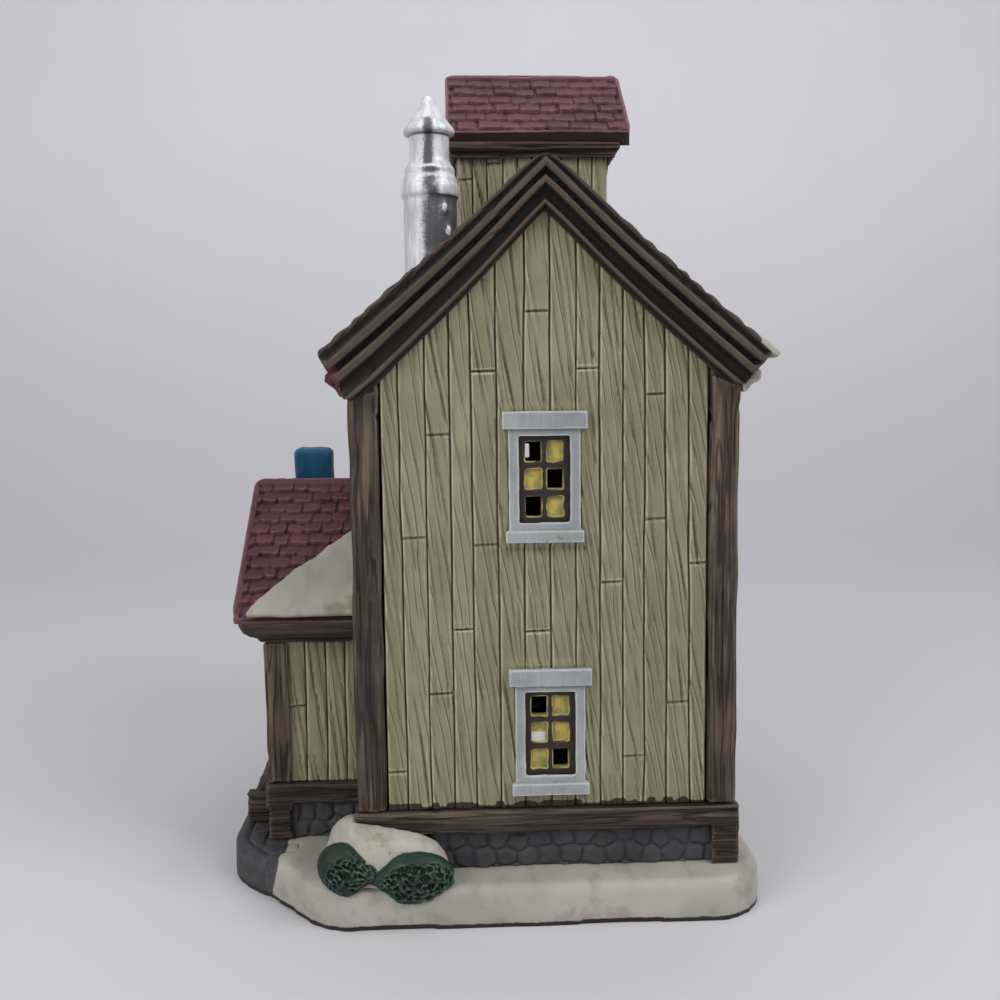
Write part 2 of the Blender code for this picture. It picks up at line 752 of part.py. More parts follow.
def make_posts():
    """Corner posts, cut away below the gable boards and under the roof."""
    for name, sign, facade in (("near", -1, NEAR_GABLE), ("far", 1, FAR_GABLE)):
        inner_line = [rake_inner_point(side, POST_INNER) for side in (-1, 1)]
        toes = [rake_toe(side) for side in (-1, 1)]
        outline = [
            (-FAR_AWAY, toes[0][1] - GAP),
            (toes[0][0], toes[0][1] - GAP),
            (inner_line[0][0], inner_line[0][1] - GAP),
            (inner_line[1][0], inner_line[1][1] - GAP),
            (toes[1][0], toes[1][1] - GAP),
            (FAR_AWAY, toes[1][1] - GAP),
            (FAR_AWAY, FAR_AWAY),
            (-FAR_AWAY, FAR_AWAY),
        ]
        behind_rake = facade.plate(name + "_rake_room", [outline], 0.0, FAR_AWAY, None)
        ends = sorted((facade.face + sign * POST_PROUD, facade.face - sign * (POST_WIDTH - POST_PROUD)))
        for hand, side in (("left", -1), ("right", 1)):
            across = sorted((side * HALF_WIDTH, side * POST_INNER))
            post = box(
                f"{name}_{hand}_post",
                (across[0], ends[0], WALL_BOTTOM),
                (across[1], ends[1], RIDGE_HEIGHT),
                TIMBER,
            )
            round_edges(post, SILL_ROUND, 1, lambda a, b: abs(a.z - b.z) > POST_WIDTH)
            cut(post, UNDER_MAIN_ROOF)
            cut(post, behind_rake)


def rake_outer_height(distance):
    """Height of the gable boards' upper edge at a distance from the ridge."""
    return RIDGE_HEIGHT - RAKE_DROP - distance * ROOF_SLOPE


def rake_inner_point(side, distance):
    """Lower edge of the gable boards where they pass a corner post."""
    depth = RAKE_DEPTH_LEFT if side < 0 else RAKE_DEPTH_RIGHT
    return (side * distance, rake_outer_height(distance) - depth)


def rake_toe(side):
    """Lowest corner of the gable boards, just outside the corner post."""
    drop = RAKE_TOE_DROP_LEFT if side < 0 else RAKE_TOE_DROP_RIGHT
    return (side * (HALF_WIDTH + RAKE_TOE), EAVE_HEIGHT - drop)


def make_rakes():
    """Stepped boards that follow both gables, from eave to eave over the apex."""
    stations = [
        ((-ROOF_RUN, rake_outer_height(ROOF_RUN)), rake_toe(-1)),
        ((-POST_INNER, rake_outer_height(POST_INNER)), rake_inner_point(-1, POST_INNER)),
        ((0.0, rake_outer_height(0.0)), (0.0, rake_outer_height(0.0) - RAKE_DEPTH_APEX)),
        ((POST_INNER, rake_outer_height(POST_INNER)), rake_inner_point(1, POST_INNER)),
        ((ROOF_RUN, rake_outer_height(ROOF_RUN)), rake_toe(1)),
    ]
    steps = [
        (RAKE_FIRST_BAND, RAKE_PROUD),
        (RAKE_SECOND_BAND, RAKE_PROUD - RAKE_STEP),
        (1.0, RAKE_PROUD - 2 * RAKE_STEP),
    ]
    stepped_chevron("near_rake", stations, steps, lambda x, z, out: (x, -out, z), TIMBER)
    far_place = lambda x, z, out: (x, HOUSE_DEPTH + out, z)
    stepped_chevron("far_rake", stations, steps, far_place, TIMBER)


def make_main_roof():
    """Two slopes with lapped courses, and the boards that close their eaves."""
    section = courses(ROOF_RUN, ROOF_PITCH, ROOF_THICKNESS, MAIN_EXPOSURE)
    for name, side in (("front", -1), ("back", 1)):
        slope_plate(
            name + "_roof_slope", side, 0.0, RIDGE_HEIGHT, section, "Y", 0.0, HOUSE_DEPTH, SHINGLES
        )
        near_wall = HALF_WIDTH + GAP
        outside = near_wall + EAVE_BOARD_REACH
        under = RIDGE_HEIGHT - ROOF_THICKNESS - GAP
        bottom = EAVE_HEIGHT - EAVE_BOARD_DROP
        board = [
            (near_wall, under - near_wall * ROOF_SLOPE),
            (near_wall, bottom),
            (near_wall + EAVE_BOARD_FOOT, bottom),
            (near_wall + 2 * EAVE_BOARD_FOOT, bottom + EAVE_BOARD_LIP),
            (outside, under - outside * ROOF_SLOPE - EAVE_BOARD_LIP),
            (outside, under - outside * ROOF_SLOPE),
        ]
        outline = [(side * out, up) for out, up in board]
        plate(name + "_eave_board", [outline], "Y", 0.0, HOUSE_DEPTH, TIMBER)


def make_wing():
    """Wing walls, corner boards, roof, gable moulding and eave mouldings."""
    house_side = -SIDE_FACE - GAP
    near = MIDDLE - WING_SIDE
    far = MIDDLE + WING_SIDE
    outline = plank_side((house_side, near), (WING_FACE, near), (0.0, 1.0))
    outline += plank_side((WING_FACE, near), (WING_FACE, far), (1.0, 0.0))[1:]
    outline += plank_side((WING_FACE, far), (house_side, far), (0.0, -1.0))[1:]
    inside = WING_FACE + WALL_THICKNESS
    outline += [
        (house_side, far - WALL_THICKNESS),
        (inside, far - WALL_THICKNESS),
        (inside, near + WALL_THICKNESS),
        (house_side, near + WALL_THICKNESS),
    ]
    walls = plate("wing_walls", [outline], "Z", WALL_BOTTOM, WING_RIDGE_HEIGHT, PLANKS)
    under_roof = WING_RIDGE_HEIGHT - WING_ROOF_THICKNESS
    room = gable_region("wing_roof_room", "X", MIDDLE, under_roof - GAP, WING_SLOPE, True)
    cut(walls, room)
    cut_window(walls, WING_GABLE, MIDDLE + WING_WINDOW_OFFSET, WING_WINDOW_HEIGHT, "wing")
    door_left = MIDDLE + DOOR_OFFSET - DOOR_WIDTH / 2 - GAP
    doorway = rectangle(
        door_left,
        door_left + DOOR_WIDTH + 2 * GAP,
        WALL_BOTTOM - GAP,
        WALL_BOTTOM + GAP + DOOR_HEIGHT + GAP,
    )
    cut(walls, WING_GABLE.plate("doorway_cutter", [doorway], -2 * WALL_THICKNESS, RAKE_PROUD, None))

    thickness = POST_PROUD - GAP
    for name, sign in (("near", -1), ("far", 1)):
        y = MIDDLE + sign * WING_HALF
        board = [
            (WING_OUTER, y),
            (WING_OUTER + WING_POST_WIDTH, y),
            (WING_OUTER + WING_POST_WIDTH, y - sign * thickness),
            (WING_OUTER + thickness, y - sign * thickness),
            (WING_OUTER + thickness, y - sign * WING_POST_WIDTH),
            (WING_OUTER, y - sign * WING_POST_WIDTH),
        ]
        plate(f"wing_{name}_post", [board], "Z", WALL_BOTTOM, FASCIA_BOTTOM - GAP, TIMBER)

    section = courses(WING_RUN, WING_PITCH, WING_ROOF_THICKNESS, WING_EXPOSURE)
    for name, sign in (("near", -1), ("far", 1)):
        slope_plate(
            f"wing_{name}_roof", sign, MIDDLE, WING_RIDGE_HEIGHT, section, "X",
            WING_ROOF_END, house_side, SHINGLES,
        )
        fascia = [(MIDDLE + sign * out, up) for out, up in fascia_section(under_roof)]
        start = WING_FACE - WING_RAKE_PROUD
        plate(f"wing_{name}_fascia", [fascia], "X", start, house_side, TIMBER)

    end = WING_SIDE
    top = under_roof - GAP
    stations = []
    for distance in (-end, 0.0, end):
        outer = top - abs(distance) * WING_SLOPE
        stations.append(((MIDDLE + distance, outer), (MIDDLE + distance, outer - WING_RAKE_DEPTH)))
    steps = [
        (RAKE_FIRST_BAND, WING_RAKE_PROUD),
        (RAKE_SECOND_BAND, WING_RAKE_PROUD - WING_RAKE_STEP),
        (1.0, WING_RAKE_PROUD - 2 * WING_RAKE_STEP),
    ]
    stepped_chevron("wing_rake", stations, steps, lambda y, z, out: (WING_FACE - out, y, z), TIMBER)


def fascia_section(under_roof):
    """Section of the wing's eave moulding, outwards from the ridge, hooked round the roof edge."""
    inner = WING_SIDE + GAP
    edge = WING_RUN + GAP
    outer = edge + FASCIA_LIP
    lip_top = under_roof + WING_ROOF_THICKNESS - WING_RUN * WING_SLOPE - 2 * GAP
    lip_bottom = under_roof - GAP - edge * WING_SLOPE
    return [
        (inner, under_roof - GAP - inner * WING_SLOPE),
        (edge, lip_bottom),
        (edge, lip_top),
        (outer, lip_top),
        (outer, lip_bottom),
        (outer - 1.6 * FASCIA_LIP, lip_bottom - 1.3 * FASCIA_LIP),
        (inner + 1.2 * FASCIA_LIP, FASCIA_BOTTOM + 0.8 * FASCIA_LIP),
        (inner + 1.2 * FASCIA_LIP, FASCIA_BOTTOM),
        (inner, FASCIA_BOTTOM),
    ]


def make_cupola():
    """Cupola walls saddled over the ridge, its moulding and its roof."""
    left = CUPOLA_OFFSET - CUPOLA_WIDTH / 2
    right = CUPOLA_OFFSET + CUPOLA_WIDTH / 2
    near = MIDDLE - CUPOLA_HALF_DEPTH
    far = MIDDLE + CUPOLA_HALF_DEPTH
    outer = plank_side((left, near), (right, near), (0.0, 1.0))
    outer += plank_side((right, near), (right, far), (-1.0, 0.0))[1:]
    outer += plank_side((right, far), (left, far), (0.0, -1.0))[1:]
    outer += plank_side((left, far), (left, near), (1.0, 0.0))[1:-1]
    wall = CUPOLA_WALL_THICKNESS
    inner = rectangle(left + wall, right - wall, near + wall, far - wall)
    bottom = RIDGE_HEIGHT - CUPOLA_WIDTH
    walls = plate("cupola_walls", [outer, inner], "Z", bottom, CUPOLA_RIDGE_HEIGHT, PLANKS)
    cut(walls, ON_MAIN_ROOF)
    under_roof = CUPOLA_RIDGE_HEIGHT - CUPOLA_ROOF_THICKNESS
    room = gable_region("cupola_roof_room", "X", MIDDLE, under_roof - GAP, ROOF_SLOPE, True)
    cut(walls, room)

    section = courses(CUPOLA_RUN, ROOF_PITCH, CUPOLA_ROOF_THICKNESS, CUPOLA_EXPOSURE)
    upper = section[1:-2]
    eave = (CUPOLA_RUN, -CUPOLA_RUN * ROOF_SLOPE - CUPOLA_ROOF_THICKNESS)
    half = [(0.0, 0.0)] + upper + [eave]
    mirrored = [(-out, up) for out, up in reversed(half[1:])]
    outline = [
        (MIDDLE + out, CUPOLA_RIDGE_HEIGHT + up)
        for out, up in half + [(0.0, -CUPOLA_ROOF_THICKNESS)] + mirrored
    ]
    start = left - CUPOLA_LEFT_OVERHANG
    end = right + CUPOLA_RIGHT_OVERHANG
    plate("cupola_roof", [outline], "X", start, end, SHINGLES)

    reach = MOULDING_PROUD
    top = under_roof - GAP - (CUPOLA_HALF_DEPTH + reach) * ROOF_SLOPE
    hole = rectangle(left - GAP, right + GAP, near - GAP, far + GAP)
    upper_ring = rectangle(left - reach, right + reach, near - reach, far + reach)
    moulding = plate(
        "cupola_moulding", [upper_ring, hole], "Z", top - MOULDING_HEIGHT / 2, top, TIMBER
    )
    reach = MOULDING_PROUD * 0.6
    lower_ring = rectangle(left - reach, right + reach, near - reach, far + reach)
    lower = plate(
        "cupola_moulding_step", [lower_ring, hole], "Z",
        top - MOULDING_HEIGHT, top - MOULDING_HEIGHT / 2 + GAP, None,
    )
    join(moulding, lower)


def make_stovepipe():
    """Turned stovepipe, cut to the front slope, and its pointed cap."""
    foot = (-PIPE_FROM_RIDGE, PIPE_FROM_GABLE, 0.0)
    bottom = PIPE_FOOT_HEIGHT - 2 * PIPE_RADIUS
    collar = PIPE_COLLAR_RADIUS
    collar_foot = PIPE_FOOT_HEIGHT + PIPE_COLLAR_RISE
    rim = PIPE_FOOT_HEIGHT + PIPE_CAP_RISE
    profile = [
        (0.0, rim - GAP),
        (PIPE_NECK_RADIUS, rim - GAP),
        (PIPE_NECK_RADIUS, PIPE_FOOT_HEIGHT + PIPE_NECK_RISE),
        (collar - PIPE_BEAD, collar_foot + PIPE_COLLAR_LENGTH + PIPE_SHOULDER_LENGTH),
        (collar, collar_foot + PIPE_COLLAR_LENGTH),
        (collar, collar_foot + PIPE_BEAD),
        (PIPE_RADIUS, collar_foot),
        (PIPE_RADIUS, bottom),
        (0.0, bottom),
    ]
    pipe = turned("stovepipe", profile, foot, SILVER)
    cut(pipe, ON_MAIN_ROOF)
    tip = PIPE_FOOT_HEIGHT + PIPE_TIP_RISE
    profile = [
        (0.0, tip),
        (PIPE_BEAD, tip - GAP / 2),
        (PIPE_CAP_RADIUS, rim + PIPE_SHOULDER_LENGTH),
        (PIPE_CAP_RADIUS, rim + PIPE_BEAD),
        (PIPE_CAP_RADIUS - PIPE_BEAD, rim),
        (0.0, rim),
    ]
    turned("stovepipe_cap", profile, foot, SILVER)


def make_chimney():
    """Square blue chimney on the far slope of the wing."""
    middle_x = -HALF_WIDTH - CHIMNEY_FROM_HOUSE
    middle_y = MIDDLE + CHIMNEY_FROM_RIDGE
    half = CHIMNEY_WIDTH / 2
    bottom = WING_RIDGE_HEIGHT - 3 * CHIMNEY_FROM_RIDGE * WING_SLOPE
    chimney = box(
        "blue_chimney",
        (middle_x - half, middle_y - half, bottom),
        (middle_x + half, middle_y + half, CHIMNEY_HEIGHT),
        BLUE,
    )
    top = CHIMNEY_HEIGHT - GAP
    round_edges(chimney, SILL_ROUND, 1, lambda a, b: min(a.z, b.z) > top)
    on_roof = gable_region("on_wing_roof", "X", MIDDLE, WING_RIDGE_HEIGHT + GAP, WING_SLOPE, False)
    cut(chimney, on_roof)


def window_bottom_opening(height):
    """Height of the lower edge of the opening of a window whose sill starts at a height."""
    return height + WINDOW_SILL_HEIGHT + WINDOW_FOOT


def cut_window(wall, facade, across, height, label):
    """Hole in a wall for one window's sash."""
    half = WINDOW_OPENING_WIDTH / 2 + SASH_LAP + GAP
    low = window_bottom_opening(height) - SASH_LAP - GAP
    high = low + WINDOW_OPENING_HEIGHT + 2 * (SASH_LAP + GAP)
    outline = rectangle(across - half, across + half, low, high)
    name = f"window_hole_{label}"
    cut(wall, facade.plate(name, [outline], -2 * WALL_THICKNESS, RAKE_PROUD, None))


def make_window(name, facade, across, height, open_panes):
    """Frame with lintel and sill on the wall, and a sash with pierced and recessed panes."""
    half = WINDOW_OPENING_WIDTH / 2
    low = window_bottom_opening(height)
    high = low + WINDOW_OPENING_HEIGHT
    jamb = half + WINDOW_JAMB
    top = high + WINDOW_HEAD + LINTEL_HEIGHT
    body = rectangle(across - jamb, across + jamb, height, top)
    opening = rectangle(across - half, across + half, low, high)
    frame = facade.plate(name + "_frame", [body, opening], GAP, WINDOW_PROUD, TRIM)
    ear = jamb + LINTEL_EAR
    lintel_outline = rectangle(across - ear, across + ear, top - LINTEL_HEIGHT, top)
    join(frame, facade.plate(name + "_lintel", [lintel_outline], GAP, LINTEL_PROUD, None))
    ear = jamb + WINDOW_SILL_EAR
    sill_outline = rectangle(across - ear, across + ear, height, height + WINDOW_SILL_HEIGHT)
    join(frame, facade.plate(name + "_ledge", [sill_outline], GAP, LINTEL_PROUD, None))

    outer = half + SASH_LAP
    outline = rectangle(across - outer, across + outer, low - SASH_LAP, high + SASH_LAP)
    holes = []
    middle = (low + high) / 2
    recesses = []
    for row in (-1, 0, 1):
        for column in (-1, 1):
            x = across + column * PANE_PITCH_ACROSS / 2
            z = middle + row * PANE_PITCH_UP
            pane = rectangle(
                x - PANE_WIDTH / 2, x + PANE_WIDTH / 2, z - PANE_HEIGHT / 2, z + PANE_HEIGHT / 2
            )
            if (column, row) in open_panes:
                holes.append(pane)
            else:
                recesses.append(pane)
    sash = facade.plate(name + "_sash", [outline] + holes, -SASH_THICKNESS, 0.0, SASH)
    pane_cutter = facade.plate(name + "_pane_cutter", recesses, -PANE_RECESS, WINDOW_PROUD, None)
    cut(sash, pane_cutter)


def make_windows():
    """Windows of both gables and of the wing. Open panes are (column, row) from the middle."""
    upper_open = {(-1, 1), (1, 0), (-1, -1)}
    lower_open = {(-1, 1), (1, -1)}
    for name, facade in (("near", NEAR_GABLE), ("far", FAR_GABLE)):
        for place, panes in zip(("lower", "upper"), (lower_open, upper_open)):
            height, offset = WINDOW_PLACES[0 if place == "lower" else 1]
            make_window(f"{name}_{place}_window", facade, offset, height, panes)
    wing_middle = MIDDLE + WING_WINDOW_OFFSET
    make_window("wing_window", WING_GABLE, wing_middle, WING_WINDOW_HEIGHT, lower_open)


def make_door():
    """Door leaf in its frame, stone steps up to it and the brown board beside them."""
    middle = MIDDLE + DOOR_OFFSET
    half = DOOR_WIDTH / 2
    bottom = WALL_BOTTOM + GAP
    top = bottom + DOOR_HEIGHT
    leaf_outline = rectangle(middle - half, middle + half, bottom, top)
    leaf = WING_GABLE.plate("door_leaf", [leaf_outline], -DOOR_THICKNESS - GAP, -GAP, SASH)
    panel_half = half - DOOR_PANEL_MARGIN
    lower_top = bottom + DOOR_HEIGHT * 0.45
    panels = [
        rectangle(middle - panel_half, middle + panel_half, bottom + DOOR_PANEL_MARGIN, lower_top),
        rectangle(
            middle - panel_half, middle + panel_half,
            lower_top + DOOR_PANEL_MARGIN, top - DOOR_PANEL_MARGIN,
        ),
    ]
    recess = WING_GABLE.plate("door_panel_cutter", panels, -GAP - DOOR_PANEL_RECESS, GAP, None)
    cut(leaf, recess)

    outer = half + DOOR_JAMB
    inner = half + GAP
    outline = [
        (middle - outer, WALL_BOTTOM),
        (middle - inner, WALL_BOTTOM),
        (middle - inner, top + GAP),
        (middle + inner, top + GAP),
        (middle + inner, WALL_BOTTOM),
        (middle + outer, WALL_BOTTOM),
        (middle + outer, top + DOOR_JAMB),
        (middle - outer, top + DOOR_JAMB),
    ]
    WING_GABLE.plate("door_frame", [outline], GAP, WINDOW_PROUD, TRIM)

    ground = BASE_HEIGHT + PATH_PROUD + GAP
    house_edge = WING_OUTER - SILL_PROUD - GAP
    outline = [(house_edge, ground)]
    for index in range(STEP_COUNT):
        height = ground + STEP_RISE * (STEP_COUNT - index)
        outline.append((house_edge - STEP_TREAD * index, height))
        outline.append((house_edge - STEP_TREAD * (index + 1), height))
    outline.append((house_edge - STEP_TREAD * STEP_COUNT, ground))
    start = middle - outer - STEPS_MARGIN
    end = middle + outer + STEPS_MARGIN
    plate("stone_steps", [outline], "Y", start, end, STONE)
    cheek = box(
        "step_cheek",
        (house_edge - STEP_TREAD * STEP_COUNT, start - GAP - CHEEK_THICKNESS, ground),
        (house_edge, start - GAP, ground + CHEEK_HEIGHT),
        TIMBER,
    )
    soften(cheek)


def mound_body(name, grow, surface):
    """Snow heaped against the near left corner, or a grown copy that clears the shrubs."""
    corner = -HALF_WIDTH
    left = corner - MOUND_AROUND_CORNER - grow
    right = left + MOUND_LENGTH + 2 * grow
    front = -MOUND_FRONT - grow
    back = MOUND_FRONT
    top = BASE_HEIGHT + MOUND_HEIGHT + grow
    mesh = bpy.data.meshes.new(name)
    shape = bmesh.new()
    bmesh.ops.create_cube(shape, size=2.0)
    bmesh.ops.subdivide_edges(shape, edges=shape.edges, cuts=1, use_grid_fill=True)
    centre = Vector(((left + right) / 2, (front + back) / 2, BASE_HEIGHT))
    reach = Vector(((right - left) / 2, (back - front) / 2, top - BASE_HEIGHT))
    for vertex in shape.verts:
        lean = 1.0 - 0.16 * (vertex.co.x + 1.0)
        vertex.co = Vector((
            vertex.co.x * reach.x,
            vertex.co.y * reach.y,
            vertex.co.z * (reach.z * 1.10 * lean if vertex.co.z > 0 else BASE_HEIGHT * 0.8),
        ))
    shape.to_mesh(mesh)
    shape.free()
    mesh.shade_smooth()
    piece = new_piece(name, mesh, surface)
    piece.location = centre
    soft = piece.modifiers.new("soft", "SUBSURF")
    soft.levels = 2
    soft.render_levels = 2
    return piece


def make_mound_and_shrubs():
    """Snow mound round the house corner and the two shrubs in front of it."""
    sill_face = POST_PROUD + SILL_PROUD
    mound = mound_body("snow_mound", 0.0, SNOW)
    house_corner = box(
        "house_corner_cutter",
        (-HALF_WIDTH - SILL_PROUD - GAP, -sill_face - GAP, -BASE_HEIGHT),
        (HALF_WIDTH, HOUSE_DEPTH, 3 * RIDGE_HEIGHT),
        None,
    )
    ground = base_body("ground_cutter", GAP, None)
    cut(mound, house_corner)
    cut(mound, ground)

    snow_room = mound_body("snow_room_cutter", GAP, None)
    left_edge = -HALF_WIDTH - MOUND_AROUND_CORNER - 0.0006
    middle_height = BASE_HEIGHT + 0.0022
    front = -BASE_MARGIN_GABLE + 0.0016
    joint = left_edge + LEFT_SHRUB_LENGTH
    places = (
        ("left_shrub", left_edge, LEFT_SHRUB_LENGTH, SHRUB_HEIGHT, middle_height + 0.0018),
        ("right_shrub", joint + GAP, RIGHT_SHRUB_LENGTH, SHRUB_HEIGHT, middle_height - 0.0004),
    )
    for name, start, length, height, level in places:
        centre = (start + length / 2, front, level)
        shrub = blob(name, centre, (length / 2, SHRUB_DEPTH, height), SHRUB)
        cut(shrub, snow_room)
        cut(shrub, ground, solver="MANIFOLD")


def make_roof_snow():
    """Snow drift at the wing's eave and the patch on the back slope by the near gable."""
    right = -SIDE_FACE - 2 * GAP
    left = right - DRIFT_LENGTH
    overlap = -2 * GAP
    shape = [
        (left, overlap),
        (right, overlap),
        (right, DRIFT_RISE),
        (right - 0.12 * DRIFT_LENGTH, 0.90 * DRIFT_RISE),
        (right - 0.34 * DRIFT_LENGTH, 0.69 * DRIFT_RISE),
        (right - 0.48 * DRIFT_LENGTH, 0.55 * DRIFT_RISE),
        (right - 0.62 * DRIFT_LENGTH, 0.45 * DRIFT_RISE),
        (right - 0.79 * DRIFT_LENGTH, 0.28 * DRIFT_RISE),
        (right - 0.96 * DRIFT_LENGTH, 0.06 * DRIFT_RISE),
    ]
    drift = plate("wing_snow_drift", [shape], "Z", 0.0, DRIFT_THICKNESS, SNOW)
    eave = WING_RIDGE_HEIGHT - WING_RUN * WING_SLOPE
    lift = GAP + DRIFT_THICKNESS / 2
    drift.rotation_euler = (WING_PITCH, 0.0, 0.0)
    drift.location = Vector((0.0, MIDDLE - WING_RUN, eave)) + lift * Vector(
        (0.0, -math.sin(WING_PITCH), math.cos(WING_PITCH))
    )

    start = -RAKE_PROUD
    corner = ROOF_SNOW_RISE / 3
    shape = rounded_outline([
        (start, overlap - GAP, corner / 2),
        (start + ROOF_SNOW_LENGTH, overlap - GAP, corner / 2),
        (start + 0.7 * ROOF_SNOW_LENGTH, 0.6 * ROOF_SNOW_RISE, corner),
        (start, ROOF_SNOW_RISE, corner),
    ], steps=3)
    patch = plate("roof_snow", [shape], "Z", 0.0, DRIFT_THICKNESS, SNOW)
    up_slope = Vector((-math.cos(ROOF_PITCH), 0.0, math.sin(ROOF_PITCH)))
    outward = Vector((math.sin(ROOF_PITCH), 0.0, math.cos(ROOF_PITCH)))
    turn = Matrix((Vector((0.0, 1.0, 0.0)), up_slope, outward)).transposed()
    patch.rotation_euler = turn.to_euler()
    patch.location = Vector((ROOF_RUN, 0.0, EAVE_HEIGHT)) + lift * outward


def make_lamp():
    """Lamp holder with its spring clip, and the bulb screwed into it."""
    wall_face = (SIDE_FACE, MIDDLE, LAMP_HEIGHT)
    flange_start = GAP
    flange_end = GAP + FLANGE_THICKNESS
    inlet_end = flange_end + INLET_LENGTH
    barrel_end = flange_start - BARREL_LENGTH
    bore = BULB_BASE_RADIUS + GAP
    bore_end = barrel_end + BULB_BASE_LENGTH + 4 * GAP
    profile = [
        (0.0, flange_end + FLANGE_THICKNESS / 2),
        (CORD_HOLE_RADIUS, flange_end + FLANGE_THICKNESS / 2),
        (CORD_HOLE_RADIUS, inlet_end),
        (INLET_RADIUS, inlet_end),
        (INLET_RADIUS, flange_end),
        (FLANGE_RADIUS, flange_end),
        (FLANGE_RADIUS, flange_start),
        (BARREL_RADIUS, flange_start),
        (BARREL_RADIUS, barrel_end),
        (bore, barrel_end),
        (bore, bore_end),
        (0.0, bore_end),
    ]
    turned("lamp_socket", profile, wall_face, PLASTIC, lying=True)

    inner = BARREL_RADIUS + GAP
    outer = inner + CLIP_THICKNESS
    band_start = barrel_end + CLIP_BAND / 2
    band_end = band_start + CLIP_BAND
    profile = [(inner, band_end), (outer, band_end), (outer, band_start), (inner, band_start)]
    clip = turned("lamp_clip", profile, wall_face, SPRING, lying=True, closed=True)
    crest = LAMP_HOLE_RADIUS - 2 * GAP
    for side in (-1, 1):
        leg = [
            (band_start, outer - CLIP_THICKNESS / 2),
            (band_start + CLIP_BAND, outer - CLIP_THICKNESS / 2),
            (-WALL_THICKNESS * 1.4, crest - CLIP_THICKNESS),
            (-WALL_THICKNESS * 0.6, crest - CLIP_THICKNESS),
            (-GAP, outer + CLIP_THICKNESS),
            (-GAP, outer + 2 * CLIP_THICKNESS),
            (-WALL_THICKNESS * 0.6, crest),
            (-WALL_THICKNESS * 1.4, crest),
            (band_start + CLIP_BAND * 0.6, outer + CLIP_THICKNESS / 2),
            (band_start, outer + CLIP_THICKNESS / 2),
        ]
        outline = [(SIDE_FACE + x, LAMP_HEIGHT + side * radius) for x, radius in leg]
        half = CLIP_WIDTH / 2
        join(clip, plate(f"clip_leg_{side:+d}", [outline], "Y", MIDDLE - half, MIDDLE + half, None))

    base_start = barrel_end + GAP
    base_end = base_start + BULB_BASE_LENGTH
    profile = [
        (0.0, base_end),
        (BULB_BASE_RADIUS * 0.6, base_end),
        (BULB_BASE_RADIUS, base_end - BULB_BASE_RADIUS * 0.3),
        (BULB_BASE_RADIUS, base_start),
        (0.0, base_start),
    ]
    turned("bulb_base", profile, wall_face, BRASS, lying=True)
    glass_start = base_start - GAP
    profile = [
        (0.0, glass_start),
        (BULB_NECK_RADIUS, glass_start),
        (BULB_NECK_RADIUS * 1.15, glass_start - 0.06 * BULB_LENGTH),
        (BULB_RADIUS * 0.86, glass_start - 0.22 * BULB_LENGTH),
        (BULB_RADIUS, glass_start - 0.42 * BULB_LENGTH),
        (BULB_RADIUS * 0.93, glass_start - 0.58 * BULB_LENGTH),
        (BULB_RADIUS * 0.72, glass_start - 0.74 * BULB_LENGTH),
        (BULB_RADIUS * 0.40, glass_start - 0.90 * BULB_LENGTH),
        (BULB_RADIUS * 0.12, glass_start - 0.99 * BULB_LENGTH),
        (0.0, glass_start - BULB_LENGTH),
    ]
    turned("bulb_glass", profile, wall_face, GLASS, lying=True)


NEAR_GABLE = Facade("Y", 0.0, -1)
FAR_GABLE = Facade("Y", HOUSE_DEPTH, 1)
WING_GABLE = Facade("X", WING_FACE, -1)
WINDOW_PLACES = (
    (LOWER_WINDOW_HEIGHT, LOWER_WINDOW_OFFSET),
    (UPPER_WINDOW_HEIGHT, UPPER_WINDOW_OFFSET),
)
UNDER_MAIN_ROOF = gable_region(
    "under_main_roof", "Y", 0.0, RIDGE_HEIGHT - ROOF_THICKNESS - GAP, ROOF_SLOPE, True
)
ON_MAIN_ROOF = gable_region("on_main_roof", "Y", 0.0, RIDGE_HEIGHT + GAP, ROOF_SLOPE, False)

make_plinth()
make_foundations()
make_sill_beams()
make_walls()
make_posts()
make_rakes()
make_main_roof()
make_wing()
make_cupola()
make_stovepipe()
make_chimney()
make_windows()
make_door()
make_mound_and_shrubs()
make_roof_snow()
make_lamp()
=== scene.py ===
"""Looks of the christmas village building: a cast and painted bisque house on its snowy plinth."""
import sys

import logging
import math
import random
from dataclasses import dataclass, field
from enum import Enum
from typing import Callable, Sequence

import bpy
import numpy as np
from mathutils import Matrix, Vector


